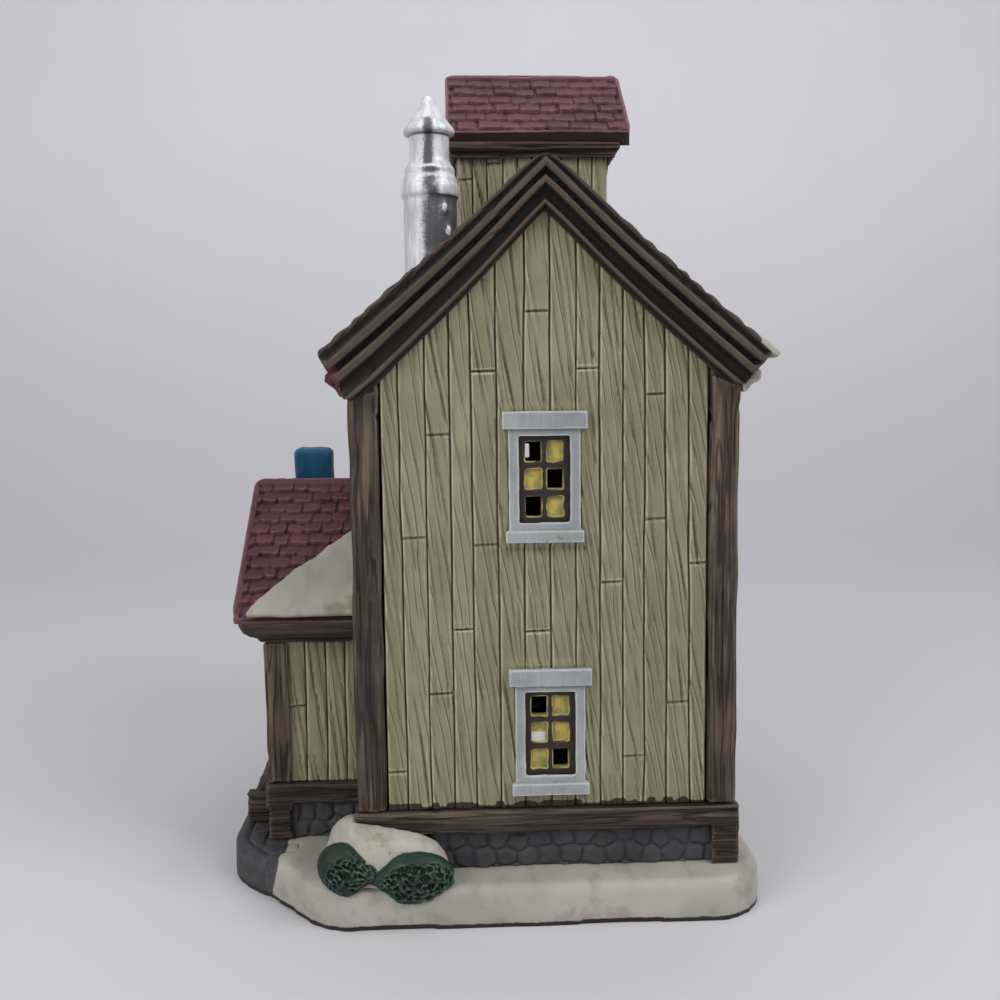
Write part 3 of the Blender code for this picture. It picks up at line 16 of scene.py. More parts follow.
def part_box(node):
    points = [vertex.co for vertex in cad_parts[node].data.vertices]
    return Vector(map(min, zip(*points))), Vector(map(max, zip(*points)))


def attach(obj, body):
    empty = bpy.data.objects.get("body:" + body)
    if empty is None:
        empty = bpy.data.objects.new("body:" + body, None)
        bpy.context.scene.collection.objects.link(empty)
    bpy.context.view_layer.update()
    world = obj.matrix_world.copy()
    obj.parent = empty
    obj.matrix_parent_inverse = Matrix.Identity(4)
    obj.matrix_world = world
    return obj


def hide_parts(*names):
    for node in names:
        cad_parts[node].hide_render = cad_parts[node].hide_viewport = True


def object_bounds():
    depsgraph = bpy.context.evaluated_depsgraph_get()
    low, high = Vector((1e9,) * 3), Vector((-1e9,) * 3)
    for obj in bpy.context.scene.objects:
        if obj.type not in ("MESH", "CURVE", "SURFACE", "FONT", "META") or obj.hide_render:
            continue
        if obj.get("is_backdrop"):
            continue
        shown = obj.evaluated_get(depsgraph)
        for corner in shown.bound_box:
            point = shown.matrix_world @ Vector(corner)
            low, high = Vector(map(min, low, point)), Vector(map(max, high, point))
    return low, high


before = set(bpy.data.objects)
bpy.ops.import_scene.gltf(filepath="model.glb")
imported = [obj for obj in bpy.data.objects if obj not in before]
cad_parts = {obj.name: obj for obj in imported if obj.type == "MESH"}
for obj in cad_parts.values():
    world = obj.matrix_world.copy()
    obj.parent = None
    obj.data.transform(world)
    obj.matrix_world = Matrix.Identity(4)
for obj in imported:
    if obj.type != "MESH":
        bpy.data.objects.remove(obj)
CAD_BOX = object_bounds()

MM = 0.001
SHARP_EDGE = 35.0
LOG = logging.getLogger("village_house")
Array = np.ndarray
Colour = tuple[float, float, float]

HOUSE_DEPTH = 100.0
MIDDLE = 50.0
ROOF_SLOPE = math.tan(math.radians(40.2))
RIDGE = 156.5
ROOF_REACH = 45.8
WALL_REACH = 39.2
WALL_PEAK = 152.1
WING_SLOPE = math.tan(math.radians(37.6))
WING_RIDGE = 89.0
WING_REACH = 31.0
WING_ROOF_REACH = 36.0
WING_ROOF_THICK = 2.6
CUPOLA_REACH = 20.7
LAMP_HEIGHT = 40.0
LAMP_RADIUS = 14.2

# The four sides of a box: the axis that each looks along, and the way it looks.
SIDES = ((1, -1), (1, 1), (0, -1), (0, 1))


def paint(code: str) -> Colour:
    """Linear colour of a paint from the six digits of its screen colour."""
    screen = (int(code[i:i + 2], 16) for i in (0, 2, 4))
    return tuple(((c / 255 + 0.055) / 1.055) ** 2.4 if c > 10.3 else c / 255 / 12.92
                 for c in screen)


def lean(slope: float) -> tuple[float, float]:
    """Cosine and sine of the pitch of a slope."""
    pitch = math.atan(slope)
    return math.cos(pitch), math.sin(pitch)


def tones(codes: str) -> tuple[Colour, ...]:
    """Light, mid, deep, hollow and pale colour of one finish. The hollow colour darkens hollows as a
    wash together with painted shade, the pale one lightens edges as worn paint together with a painted
    highlight.
    """
    return tuple(paint(code) for code in codes.split())


# Shader maths


class Tap:
    """An output socket that takes part in arithmetic."""

    def __init__(self, recipe: "Recipe", socket: bpy.types.NodeSocket) -> None:
        """Wraps one socket of a recipe."""
        self.recipe = recipe
        self.socket = socket

    def _math(self, operation: str, a: "Tap | float", b: "Tap | float" = 0.0) -> "Tap":
        """One Math node."""
        return self.recipe.node("ShaderNodeMath", {"operation": operation}, {0: a, 1: b})

    def __add__(self, other: "Tap | float") -> "Tap":
        """Sum."""
        return self._math("ADD", self, other)

    def __radd__(self, other: float) -> "Tap":
        """Reflected sum."""
        return self._math("ADD", other, self)

    def __sub__(self, other: "Tap | float") -> "Tap":
        """Difference."""
        return self._math("SUBTRACT", self, other)

    def __rsub__(self, other: float) -> "Tap":
        """Reflected difference."""
        return self._math("SUBTRACT", other, self)

    def __mul__(self, other: "Tap | float") -> "Tap":
        """Product."""
        return self._math("MULTIPLY", self, other)

    def __rmul__(self, other: float) -> "Tap":
        """Reflected product."""
        return self._math("MULTIPLY", other, self)

    def __truediv__(self, other: "Tap | float") -> "Tap":
        """Quotient."""
        return self._math("DIVIDE", self, other)

    def __abs__(self) -> "Tap":
        """Size without sign."""
        return self._math("ABSOLUTE", self)

    def fraction(self) -> "Tap":
        """Part after the point."""
        return self._math("FRACT", self)

    def ramp(self, low: float, high: float) -> "Tap":
        """Smooth step from 0 at low to 1 at high."""
        settings = {"interpolation_type": "SMOOTHSTEP"}
        return self.recipe.node("ShaderNodeMapRange", settings,
                                {"Value": self, "From Min": low, "From Max": high})


class Recipe:
    """The node tree of one material."""

    def __init__(self, name: str) -> None:
        """Starts an empty material."""
        self.material = bpy.data.materials.new(name)
        self.material.use_nodes = True
        self.tree = self.material.node_tree
        self.tree.nodes.clear()
        self.place = self.node("ShaderNodeTexCoord", {}, {}, "Object")

    def node(self, kind: str, settings: dict[str, object], values: dict[object, object],
             output: int | str = 0) -> Tap:
        """Adds a node.

        Args:
            kind: node type.
            settings: node properties, set first.
            values: socket name or number to a value or a Tap.
            output: output socket that is returned.

        Returns:
            The chosen output.
        """
        made = self.tree.nodes.new(kind)
        for key, value in settings.items():
            setattr(made, key, value)
        for key, value in values.items():
            socket = made.inputs[key]
            if isinstance(value, Tap):
                self.tree.links.new(value.socket, socket)
            elif isinstance(value, tuple) and len(value) == 3 and socket.type == "RGBA":
                socket.default_value = (*value, 1.0)
            else:
                socket.default_value = value
        return Tap(self, made.outputs[output])

    def mask(self, name: str) -> Tap:
        """A number painted on the mesh."""
        settings = {"attribute_type": "GEOMETRY", "attribute_name": name}
        return self.node("ShaderNodeAttribute", settings, {}, "Fac")

    def split(self, vector: Tap) -> tuple[Tap, Tap, Tap]:
        """The three parts of a vector."""
        made = self.tree.nodes.new("ShaderNodeSeparateXYZ")
        self.tree.links.new(vector.socket, made.inputs[0])
        return tuple(Tap(self, made.outputs[i]) for i in range(3))

    def joined(self, x: "Tap | float", y: "Tap | float", z: "Tap | float") -> Tap:
        """A vector from its three parts."""
        return self.node("ShaderNodeCombineXYZ", {}, {0: x, 1: y, 2: z})

    def stretched(self, vector: Tap, scale: tuple[float, float, float]) -> Tap:
        """A vector scaled by parts."""
        return self.node("ShaderNodeVectorMath", {"operation": "MULTIPLY"}, {0: vector, 1: scale})

    def clouds(self, vector: Tap, size: float, detail: float = 2.0, rough: float = 0.5) -> Tap:
        """Soft noise from 0 to 1 whose blots have a size in millimetres."""
        return self.node("ShaderNodeTexNoise", {},
                         {"Vector": vector, "Scale": 1 / (size * MM), "Detail": detail,
                          "Roughness": rough})

    def mix(self, factor: "Tap | float", a: "Tap | Colour", b: "Tap | Colour") -> Tap:
        """Colour a with colour b laid over it."""
        settings = {"data_type": "RGBA", "clamp_factor": True}
        return self.node("ShaderNodeMix", settings, {0: factor, 6: a, 7: b}, 2)

    def frayed(self, name: str, noise: Tap, fray: float, low: float, high: float) -> Tap:
        """A painted number as a hard-edged patch whose border noise breaks up."""
        return (self.mask(name) + (noise - 0.5) * fray).ramp(low, high)

    def close(self, colour: Tap, rough: "Tap | float", height: "Tap | None",
              more: dict[str, object]) -> bpy.types.Material:
        """Ends the tree in one painted surface.

        Args:
            colour: base colour.
            rough: roughness.
            height: relief in millimetres, if there is any.
            more: further inputs of the surface by name.

        Returns:
            The material.
        """
        values = {"Base Color": colour, "Roughness": rough, **more}
        if height is not None:
            relief = {"Height": height, "Distance": MM, "Strength": 1.0}
            values["Normal"] = self.node("ShaderNodeBump", {}, relief)
        shader = self.node("ShaderNodeBsdfPrincipled", {}, values)
        end = self.tree.nodes.new("ShaderNodeOutputMaterial")
        self.tree.links.new(shader.socket, end.inputs["Surface"])
        return self.material


# Finishes


class Run(Enum):
    """Direction that a grain follows."""

    NONE = "none"
    X = "x"
    Y = "y"
    Z = "z"
    MAIN_RAKE = "main rake"
    WING_RAKE = "wing rake"


def grain_place(recipe: Recipe, run: Run) -> Tap:
    """Coordinates with the grain's run as the third part."""
    x, y, z = recipe.split(recipe.place)
    if run is Run.X:
        return recipe.joined(y, z, x)
    if run is Run.Y:
        return recipe.joined(x, z, y)
    if run in (Run.MAIN_RAKE, Run.WING_RAKE):
        side = abs(x) if run is Run.MAIN_RAKE else abs(y - MIDDLE * MM)
        across = y if run is Run.MAIN_RAKE else x
        c, s = lean(ROOF_SLOPE if run is Run.MAIN_RAKE else WING_SLOPE)
        return recipe.joined(across, side * s + z * c, side * c - z * s)
    return recipe.place


@dataclass(frozen=True)
class Bisque:
    """A matt paint over cast bisque, darker in the hollows and lighter on the edges: a wash and worn
    paint together with painted shade and painted highlight.
    """

    name: str
    light: Colour
    mid: Colour
    deep: Colour
    hollow: Colour
    pale_paint_and_highlight: Colour
    run: Run = Run.NONE
    streaks: float = 0.5
    hollow_share: float = 0.9
    edge_wear_and_highlight_share: float = 0.6
    roughness: float = 0.62
    grain_depth: float = 0.05
    streak_depth: float = 0.10
    tint_share: float = 0.5
    over: Colour = paint("322824")

    def carve(self, r: Recipe, colour: Tap, height: Tap) -> tuple[Tap, Tap]:
        """Extra drawing of a finish in colour and height. The plain one has none."""
        return colour, height

    def material(self) -> bpy.types.Material:
        """Builds the node tree."""
        r = Recipe(self.name)
        grain = r.stretched(grain_place(r, self.run), (1.0, 1.0, 0.09))
        broad = r.clouds(r.place, 14.0, 3.0)
        small = r.clouds(r.place, 2.2, 4.0, 0.6)
        streak = r.clouds(grain, 0.9, 3.0, 0.6)
        tint = r.mask("tint")
        colour = r.mix(broad.ramp(0.38, 0.66), self.mid, self.light)
        colour = r.mix((streak.ramp(0.5, 0.75)) * self.streaks, colour, self.deep)
        colour = r.mix(small.ramp(0.52, 0.72) * 0.35, colour, self.light)
        colour = r.mix(tint * self.tint_share, colour, self.deep)
        fine = r.clouds(r.place, 0.28, 2.0, 0.7)
        colour = r.mix(fine.ramp(0.5, 0.8) * 0.18, colour, self.deep)
        height = fine * self.grain_depth + streak * self.streak_depth + small * 0.05
        colour, height = self.carve(r, colour, height)
        # Darker in the hollows and lighter on the edges from the numbers on the mesh: a wash and worn
        # paint, together with painted shade and painted highlight.
        wash = r.mask("wash")
        dirt_and_shade = (wash * (0.75 + small * 0.5)).ramp(0.04, 0.8)
        colour = r.mix(dirt_and_shade * self.hollow_share, colour, self.hollow)
        rub = r.mask("rub") * (0.35 + small * 1.3)
        colour = r.mix(rub.ramp(0.08, 0.75) * self.edge_wear_and_highlight_share, colour, self.pale_paint_and_highlight)
        over = r.frayed("over", small, 0.5, 0.38, 0.62)
        colour = r.mix(over * (0.95 - dirt_and_shade * 0.4), colour, self.over)
        specks = r.clouds(r.place, 0.55, 1.0).ramp(0.74, 0.8)
        colour = r.mix(specks * 0.35, colour, self.hollow)
        rough = self.roughness + (small - 0.5) * 0.16 + dirt_and_shade * 0.1
        return r.close(colour, rough, height, {"IOR": 1.45, "Specular IOR Level": 0.28})


@dataclass(frozen=True)
class Planks(Bisque):
    """Board paint with the long slanting lines that were drawn into the mould."""

    def carve(self, r: Recipe, colour: Tap, height: Tap) -> tuple[Tap, Tap]:
        """Lines that lean the same way on every board and break off at its edges, each with a painted
        highlight along one side.
        """
        x, y, z = r.split(r.place)
        own = r.mask("tint")
        across = x + y + z * (own * 0.11 + 0.11)
        sway = r.clouds(r.stretched(r.place, (1.0, 1.0, 0.3)), 7.0, 1.0)
        lane = (across + sway * 2.6 * MM) / (1.75 * MM) + own * 7.3
        here = r.clouds(r.joined(across, own * 0.7, z * 0.09), 1.9, 1.0).ramp(0.42, 0.55)
        line = (1 - abs(lane.fraction() - 0.5).ramp(0.025, 0.10)) * here
        # ridge: a painted highlight along one side of each line.
        ridge = (1 - abs(lane.fraction() - 0.36).ramp(0.0, 0.10)) * here
        colour = r.mix(ridge * 0.4, colour, self.pale_paint_and_highlight)
        colour = r.mix(line * 0.52, colour, self.hollow)
        return colour, height - line * 0.17


@dataclass(frozen=True)
class Grained(Bisque):
    """Timber paint with brushed streaks and fine cracks along the run."""

    def carve(self, r: Recipe, colour: Tap, height: Tap) -> tuple[Tap, Tap]:
        """Pale streaks of the dry brush, dark streaks between them, and cracks."""
        grain = r.stretched(grain_place(r, self.run), (1.0, 1.0, 0.05))
        wide = r.clouds(grain, 1.6, 2.0)
        colour = r.mix(wide.ramp(0.52, 0.7) * 0.55, colour, self.pale_paint_and_highlight)
        colour = r.mix((1 - wide).ramp(0.52, 0.66) * 0.6, colour, self.deep)
        crack = 1 - abs(r.clouds(grain, 1.5, 1.0) - 0.5).ramp(0.01, 0.06)
        colour = r.mix(crack * 0.6, colour, self.hollow)
        return colour, height - crack * 0.22


@dataclass(frozen=True)
class Ground(Bisque):
    """Snow paint with bare slate paint towards the wing's corner and a few green specks."""

    slate: Colour = (0.05, 0.05, 0.06)

    def material(self) -> bpy.types.Material:
        """Builds the node tree."""
        r = Recipe(self.name)
        broad = r.clouds(r.place, 16.0, 3.0)
        small = r.clouds(r.place, 1.8, 4.0, 0.6)
        folds = r.clouds(r.stretched(r.place, (1.0, 0.4, 1.0)), 5.0, 3.0)
        colour = r.mix(broad.ramp(0.35, 0.65), self.mid, self.light)
        colour = r.mix(folds.ramp(0.5, 0.7) * 0.5, colour, self.deep)
        # Darker in the hollows: a grey wash together with painted shade.
        wash = r.mask("wash").ramp(0.03, 0.7)
        colour = r.mix(wash * 0.6, colour, self.hollow)
        slate = r.mix(small.ramp(0.4, 0.7), self.slate, self.pale_paint_and_highlight)
        colour = r.mix(r.frayed("slate", small, 0.10, 0.46, 0.54), colour, slate)
        colour = r.mix(r.frayed("foot", small, 0.4, 0.45, 0.65), colour, paint("262221"))
        colour = r.mix(r.frayed("over", small, 0.7, 0.35, 0.65) * 0.8, colour, self.over)
        specks = r.clouds(r.place, 0.8, 1.0).ramp(0.73, 0.78) * r.mask("green")
        colour = r.mix(specks, colour, paint("46695a"))
        fine = r.clouds(r.place, 0.3, 2.0, 0.7)
        height = fine * 0.05 + folds * 0.22 + small * 0.06
        rough = self.roughness + (small - 0.5) * 0.14
        return r.close(colour, rough, height, {"IOR": 1.45, "Specular IOR Level": 0.4})


@dataclass(frozen=True)
class PaneWork(Bisque):
    """Brown sash paint with the panes painted yellow."""

    def material(self) -> bpy.types.Material:
        """Builds the node tree."""
        r = Recipe(self.name)
        small = r.clouds(r.place, 0.9, 3.0, 0.6)
        blot = r.clouds(r.place, 2.6, 2.0)
        brown = r.mix(small.ramp(0.35, 0.7), paint("281f1d"), self.deep)
        # Sash edges lighter: worn paint together with painted highlight.
        brown = r.mix(r.mask("rub").ramp(0.1, 0.8) * 0.3, brown, self.pale_paint_and_highlight)
        gold = r.mix(blot.ramp(0.4, 0.62), paint("8a864c"), paint("b8a450"))
        gold = r.mix(small.ramp(0.58, 0.75) * 0.5, gold, paint("ccc48a"))
        # Panes darker in their hollows: a wash together with painted shade.
        gold = r.mix(r.mask("wash").ramp(0.1, 0.9) * 0.5, gold, paint("6e6232"))
        colour = r.mix(r.frayed("pane", small, 0.3, 0.42, 0.58), brown, gold)
        colour = r.mix(r.frayed("rim", small, 0.25, 0.4, 0.6) * 0.45, colour, paint("b0a868"))
        colour = r.mix(r.frayed("chip", small, 0.5, 0.4, 0.6), colour, paint("cdcacd"))
        height = small * 0.10 + r.clouds(r.place, 0.3, 2.0) * 0.04
        return r.close(colour, 0.42 + small * 0.22, height, {"IOR": 1.45})


@dataclass(frozen=True)
class Metalwork:
    """Metal or metallic paint with brush marks."""

    name: str
    bright: Colour
    dull: Colour
    metallic: float
    roughness: float
    dark: Colour = (0.02, 0.02, 0.02)

    def material(self) -> bpy.types.Material:
        """Builds the node tree."""
        r = Recipe(self.name)
        small = r.clouds(r.place, 1.1, 4.0, 0.6)
        streak = r.clouds(r.stretched(r.place, (1.0, 1.0, 0.18)), 1.3, 3.0)
        colour = r.mix(streak.ramp(0.38, 0.62), self.dull, self.bright)
        grit = r.clouds(r.place, 0.32, 2.0, 0.7)
        # shade: a painted reflection and painted shade read from the mesh, darkened in as a band.
        shade = (r.mask("shade") + (small - 0.5) * 0.3 + (grit - 0.5) * 0.7).ramp(0.25, 0.8)
        colour = r.mix(grit.ramp(0.55, 0.75) * 0.35, colour, self.dark)
        colour = r.mix(shade * 0.9, colour, self.dark)
        over = r.frayed("over", small, 0.7, 0.45, 0.6)
        colour = r.mix(over, colour, paint("5c303a"))
        # Darker in the hollows: grime together with painted shade.
        colour = r.mix(r.mask("wash").ramp(0.1, 0.9) * 0.6, colour, self.dark)
        metal = (1 - over) * (1 - shade * 0.7) * self.metallic * (0.7 + streak * 0.4)
        height = small * 0.05 + streak * 0.05
        return r.close(colour, self.roughness + small * 0.18, height, {"Metallic": metal})


@dataclass(frozen=True)
class Smooth:
    """Moulded plastic or clear glass with faint marks from handling."""

    name: str
    colour: Colour
    roughness: float
    clear: bool = False

    def material(self) -> bpy.types.Material:
        """Builds the node tree."""
        r = Recipe(self.name)
        small = r.clouds(r.place, 1.6, 4.0, 0.6)
        dull = tuple(c * 0.82 for c in self.colour)
        colour = r.mix(small.ramp(0.45, 0.75) * 0.5, self.colour, dull)
        # Darker in the hollows: grime together with painted shade.
        colour = r.mix(r.mask("wash").ramp(0.1, 0.9) * 0.5, colour, paint("787064"))
        marks = r.clouds(r.place, 5.0, 3.0)
        more = {"IOR": 1.5, "Transmission Weight": 0.9} if self.clear else {"IOR": 1.5}
        return r.close(colour, self.roughness + marks * 0.12, small * 0.02, more)


OLIVE = tones("928e74 838066 6e6c50 3e3a2a b6ac92")
BROWN = tones("483e35 392f29 211a18 100c0b 64574a")
POST = tones("584c40 443931 211b19 100c0b 7e6e5c")
RAKE = tones("4c423b 423932 1e1817 0d0a0a 62564c")
WINE = tones("623c45 52323a 362328 1e1115 98646e")


@dataclass
class Paints:
    """All finishes of the house, made once and looked up by name."""

    made: dict[str, bpy.types.Material] = field(default_factory=dict)

    def __post_init__(self) -> None:
        """Builds the materials."""
        finishes = [
            Planks("olive_boards", *OLIVE, run=Run.Z, streaks=0.5,
                   edge_wear_and_highlight_share=0.8, roughness=0.68, over=paint("2e251f")),
            *[Grained(f"brown_timber_{name}", *colours, run=run, streaks=0.6, streak_depth=0.24,
                      hollow_share=0.95, edge_wear_and_highlight_share=0.5, roughness=0.55, over=paint(over))
              for name, colours, run, over in (
                  ("x", BROWN, Run.X, "5c3842"), ("y", BROWN, Run.Y, "5c3842"),
                  ("z", POST, Run.Z, "5c3842"), ("wing_rake", BROWN, Run.WING_RAKE, "5c3842"),
                  ("snowy", BROWN, Run.Y, "aca89c"))],
            Bisque("brown_timber_main_rake", *RAKE, run=Run.MAIN_RAKE, streaks=0.35,
                   hollow_share=0.85, edge_wear_and_highlight_share=0.45, roughness=0.55, tint_share=0.92,
                   grain_depth=0.09, over=paint("5c3842")),
            Bisque("wine_shingles", *WINE, streaks=0.15, edge_wear_and_highlight_share=0.48, roughness=0.58,
                   over=paint("382a2a")),
            Bisque("slate_stones", *tones("48474b 3d3c40 302f33 201f23 626165"), streaks=0.2,
                   edge_wear_and_highlight_share=0.45, over=paint("3e342c")),
            Ground("snow_and_slate", *tones("aca89d 9c998e 827e71 625e52 4a494c"),
                   slate=paint("38373a"), roughness=0.6, over=paint("848068")),
            Bisque("blue_grey_trim", *tones("a0a3a4 8c9091 787c7c 565850 c6c8c9"),
                   streaks=0.4, hollow_share=0.7, roughness=0.55, over=paint("7c7a62")),
            PaneWork("brown_sash", *BROWN),
            Bisque("fir_green", *tones("243c2f 192c23 0a1712 040a08 54705e"), streaks=0.2,
                   edge_wear_and_highlight_share=0.7, roughness=0.5),
            Metalwork("silver_paint", paint("dcdde3"), paint("c0c1c7"), 0.22, 0.4,
                      paint("2a2a2e")),
            Bisque("chimney_blue", *tones("246288 145072 0e3654 0a2236 4e96b8"), streaks=0.4,
                   roughness=0.5),
            Smooth("white_plastic", paint("e4e2da"), 0.34),
            Metalwork("spring_steel", paint("bebec2"), paint("8c8c92"), 1.0, 0.24),
            Metalwork("brass_cap", paint("ceb06e"), paint("a0824a"), 1.0, 0.26),
            Smooth("clear_bulb_glass", paint("eeece2"), 0.05, clear=True),
        ]
        for finish in finishes:
            self.made[finish.name] = finish.material()

    def __getitem__(self, name: str) -> bpy.types.Material:
        """A material by its finish name."""
        return self.made[name]


# Shaping


def corner_noise(ix: Array, iy: Array, iz: Array, seed: int) -> Array:
    """Even random numbers from -1 to 1 for whole-numbered places."""
    h = (ix * 374761393 + iy * 668265263 + iz * 1440662683 + seed * 974634777) & 0xFFFFFFFF
    h = ((h ^ (h >> 13)) * 1274126177) & 0xFFFFFFFF
    return (h ^ (h >> 16)) / 2147483648.0 - 1.0


def clouds(points: Array, size: float, seed: int) -> Array:
    """Soft noise from -1 to 1 at points, with blots of a size in the points' own unit."""
    q = np.asarray(points, float) / size
    low = np.floor(q).astype(np.int64)
    f = q - low
    f = f * f * (3 - 2 * f)
    total = np.zeros(len(q))
    for step in np.ndindex(2, 2, 2):
        share = np.where(step, f, 1 - f)
        total += share[:, 0] * share[:, 1] * share[:, 2] * corner_noise(*(low + step).T, seed)
    return total


def clouds_flat(u: Array, v: Array, size: float, seed: int) -> Array:
    """Soft noise on two coordinates, in the shape of the first."""
    points = np.stack([u.ravel(), v.ravel(), np.zeros(u.size) + seed * 3.7], 1)
    return clouds(points, size, seed).reshape(u.shape)


def smooth(values: Array, low: float, high: float) -> Array:
    """Smooth step from 0 at low to 1 at high."""
    t = np.clip((values - low) / (high - low), 0, 1)
    return t * t * (3 - 2 * t)


def clear() -> None:
    """Leaves edit mode and deselects everything."""
    if bpy.context.object and bpy.context.object.mode != "OBJECT":
        bpy.ops.object.mode_set(mode="OBJECT")
    bpy.ops.object.select_all(action="DESELECT")


class Clay:
    """One piece being shaped. All its lengths are in millimetres."""

    def __init__(self, obj: bpy.types.Object) -> None:
        """Takes an object whose mesh is already in place."""
        self.obj = obj

    @classmethod
    def fresh(cls, name: str) -> "Clay":
        """Takes the primitive that was just added, with its place put into its mesh."""
        obj = bpy.context.object
        bpy.ops.object.transform_apply(location=True, rotation=True, scale=True)
        obj.name = name
        obj.data.name = name
        return cls(obj)

    @classmethod
    def block(cls, name: str, low: Sequence[float], high: Sequence[float]) -> "Clay":
        """A box between two corners."""
        clear()
        low_corner, high_corner = Vector(low) * MM, Vector(high) * MM
        bpy.ops.mesh.primitive_cube_add(size=1, location=(low_corner + high_corner) / 2,
                                        scale=high_corner - low_corner)
        return cls.fresh(name)

    @classmethod
    def loft(cls, name: str, rings: Sequence[Array]) -> "Clay":
        """A solid through sections of the same number of points, extruded one by one."""
        clear()
        bpy.ops.mesh.primitive_circle_add(vertices=len(rings[0]), radius=1, fill_type="NGON")
        clay = cls.fresh(name)
        count = len(rings[0])
        clay.attribute("turn", np.arange(count))
        bpy.ops.object.mode_set(mode="EDIT")
        bpy.ops.mesh.select_mode(type="FACE")
        bpy.ops.mesh.select_all(action="SELECT")
        for _ in rings[1:]:
            bpy.ops.mesh.extrude_region_move()
        bpy.ops.object.mode_set(mode="OBJECT")
        turn = clay.taken("turn")
        ring = np.arange(len(turn)) // count
        clay.place(np.array(rings, float)[ring, np.rint(turn).astype(int)])
        return clay.outward()

    @classmethod
    def copy_of(cls, name: str, *nodes: str) -> "Clay":
        """A merged copy of CAD nodes' meshes, as the start of a piece."""
        clear()
        objects = []
        for node in nodes:
            obj = bpy.data.objects.new(name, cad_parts[node].data.copy())
            obj.data.materials.clear()
            bpy.context.scene.collection.objects.link(obj)
            objects.append(obj)
        for obj in objects:
            obj.select_set(True)
        bpy.context.view_layer.objects.active = objects[0]
        if len(objects) > 1:
            bpy.ops.object.join()
        clay = cls(bpy.context.view_layer.objects.active)
        clay.obj.name = name
        clay.obj.data.name = name
        attributes = clay.obj.data.attributes
        for attribute in list(attributes):
            if attribute.name.startswith("custom") or attribute.name == "sharp_face":
                attributes.remove(attribute)
        bpy.ops.object.mode_set(mode="EDIT")
        bpy.ops.mesh.select_all(action="SELECT")
        bpy.ops.mesh.customdata_custom_splitnormals_clear()
        bpy.ops.mesh.remove_doubles(threshold=1e-6)
        clay.outward()
        return clay

    def wake(self) -> None:
        """Makes the piece the only selected and active object."""
        clear()
        self.obj.select_set(True)
        bpy.context.view_layer.objects.active = self.obj

    def outward(self) -> "Clay":
        """Turns all faces outwards."""
        self.wake()
        bpy.ops.object.mode_set(mode="EDIT")
        bpy.ops.mesh.select_all(action="SELECT")
        bpy.ops.mesh.normals_make_consistent(inside=False)
        bpy.ops.object.mode_set(mode="OBJECT")
        return self

    def points(self) -> Array:
        """Places of the vertices."""
        flat = np.zeros(len(self.obj.data.vertices) * 3)
        self.obj.data.vertices.foreach_get("co", flat)
        return flat.reshape(-1, 3) / MM

    def normals(self) -> Array:
        """Directions of the vertices."""
        flat = np.zeros(len(self.obj.data.vertices) * 3)
        self.obj.data.vertex_normals.foreach_get("vector", flat)
        return flat.reshape(-1, 3)

    def place(self, points: Array) -> "Clay":
        """Puts the vertices at new places."""
        self.obj.data.vertices.foreach_set("co", (np.asarray(points, float) * MM).ravel())
        self.obj.data.update()
        return self

    def sculpt(self, push: Callable[[Array, Array], Array]) -> "Clay":
        """Moves each vertex along its normal by push(points, normals)."""
        points, normals = self.points(), self.normals()
        return self.place(points + normals * push(points, normals)[:, None])

    def lumpy(self, size: float, depth: float, seed: int) -> "Clay":
        """Pushes the surface in and out by soft noise."""
        return self.sculpt(lambda p, n: clouds(p, size, seed) * depth)

    def attribute(self, name: str, values: Array) -> "Clay":
        """Paints a number on the vertices."""
        layer = self.obj.data.attributes.get(name)
        if layer is None:
            layer = self.obj.data.attributes.new(name, "FLOAT", "POINT")
        layer.data.foreach_set("value", np.asarray(values, np.float32))
        return self

    def taken(self, name: str) -> Array:
        """Reads a number painted on the vertices and takes it off them."""
        attributes = self.obj.data.attributes
        values = np.zeros(len(self.obj.data.vertices), np.float32)
        attributes[name].data.foreach_get("value", values)
        attributes.remove(attributes[name])
        return values.astype(float)

    def modify(self, kind: str, **settings: object) -> "Clay":
        """Adds a modifier and applies it."""
        self.wake()
        modifier = self.obj.modifiers.new(kind.title(), kind)
        for key, value in settings.items():
            setattr(modifier, key, value)
        bpy.ops.object.modifier_apply(modifier=modifier.name)
        return self

    def cast(self, voxel: float, rounds: int) -> "Clay":
        """Melts the piece into one even skin with softened edges, as slip casting does."""
        self.modify("REMESH", mode="VOXEL", voxel_size=voxel * MM, adaptivity=0.0)
        return self.modify("SMOOTH", iterations=rounds, factor=0.5)

    def bevel(self, width: float) -> "Clay":
        """Rounds the edges that are sharper than 40 degrees."""
        return self.modify("BEVEL", width=width * MM, segments=2, limit_method="ANGLE",
                           angle_limit=math.radians(40.0))

    def cut(self, other: "Clay") -> "Clay":
        """Takes another piece away from this one, and uses it up."""
        self.modify("BOOLEAN", object=other.obj, operation="DIFFERENCE", solver="EXACT")
        bpy.data.objects.remove(other.obj)
        return self

    def volume(self) -> float:
        """Enclosed volume in cubic millimetres."""
        mesh = self.obj.data
        mesh.calc_loop_triangles()
        corners = np.zeros(len(mesh.loop_triangles) * 3, np.int64)
        mesh.loop_triangles.foreach_get("vertices", corners)
        a, b, c = self.points()[corners.reshape(-1, 3)].transpose(1, 0, 2)
        return float((a * np.cross(b, c)).sum() / 6)

    def pierce(self, cutter: Callable[[float], "Clay"], lost: float) -> "Clay":
        """Cuts a hole, and cuts again a hair wider when the solver took away too much or nothing.

        Args:
            cutter: makes the cutting piece, grown by a length.
            lost: volume that the hole takes away.
        """
        whole, before = self.obj.data.copy(), self.volume()
        for grow in (0.0, 0.013, -0.017, 0.029, -0.037, 0.053, -0.061, 0.083):
            self.cut(cutter(grow))
            if 0.7 < (before - self.volume()) / lost < 1.35:
                break
            LOG.info("%s: hole tried again", self.obj.name)
            self.obj.data = whole.copy()
        return self

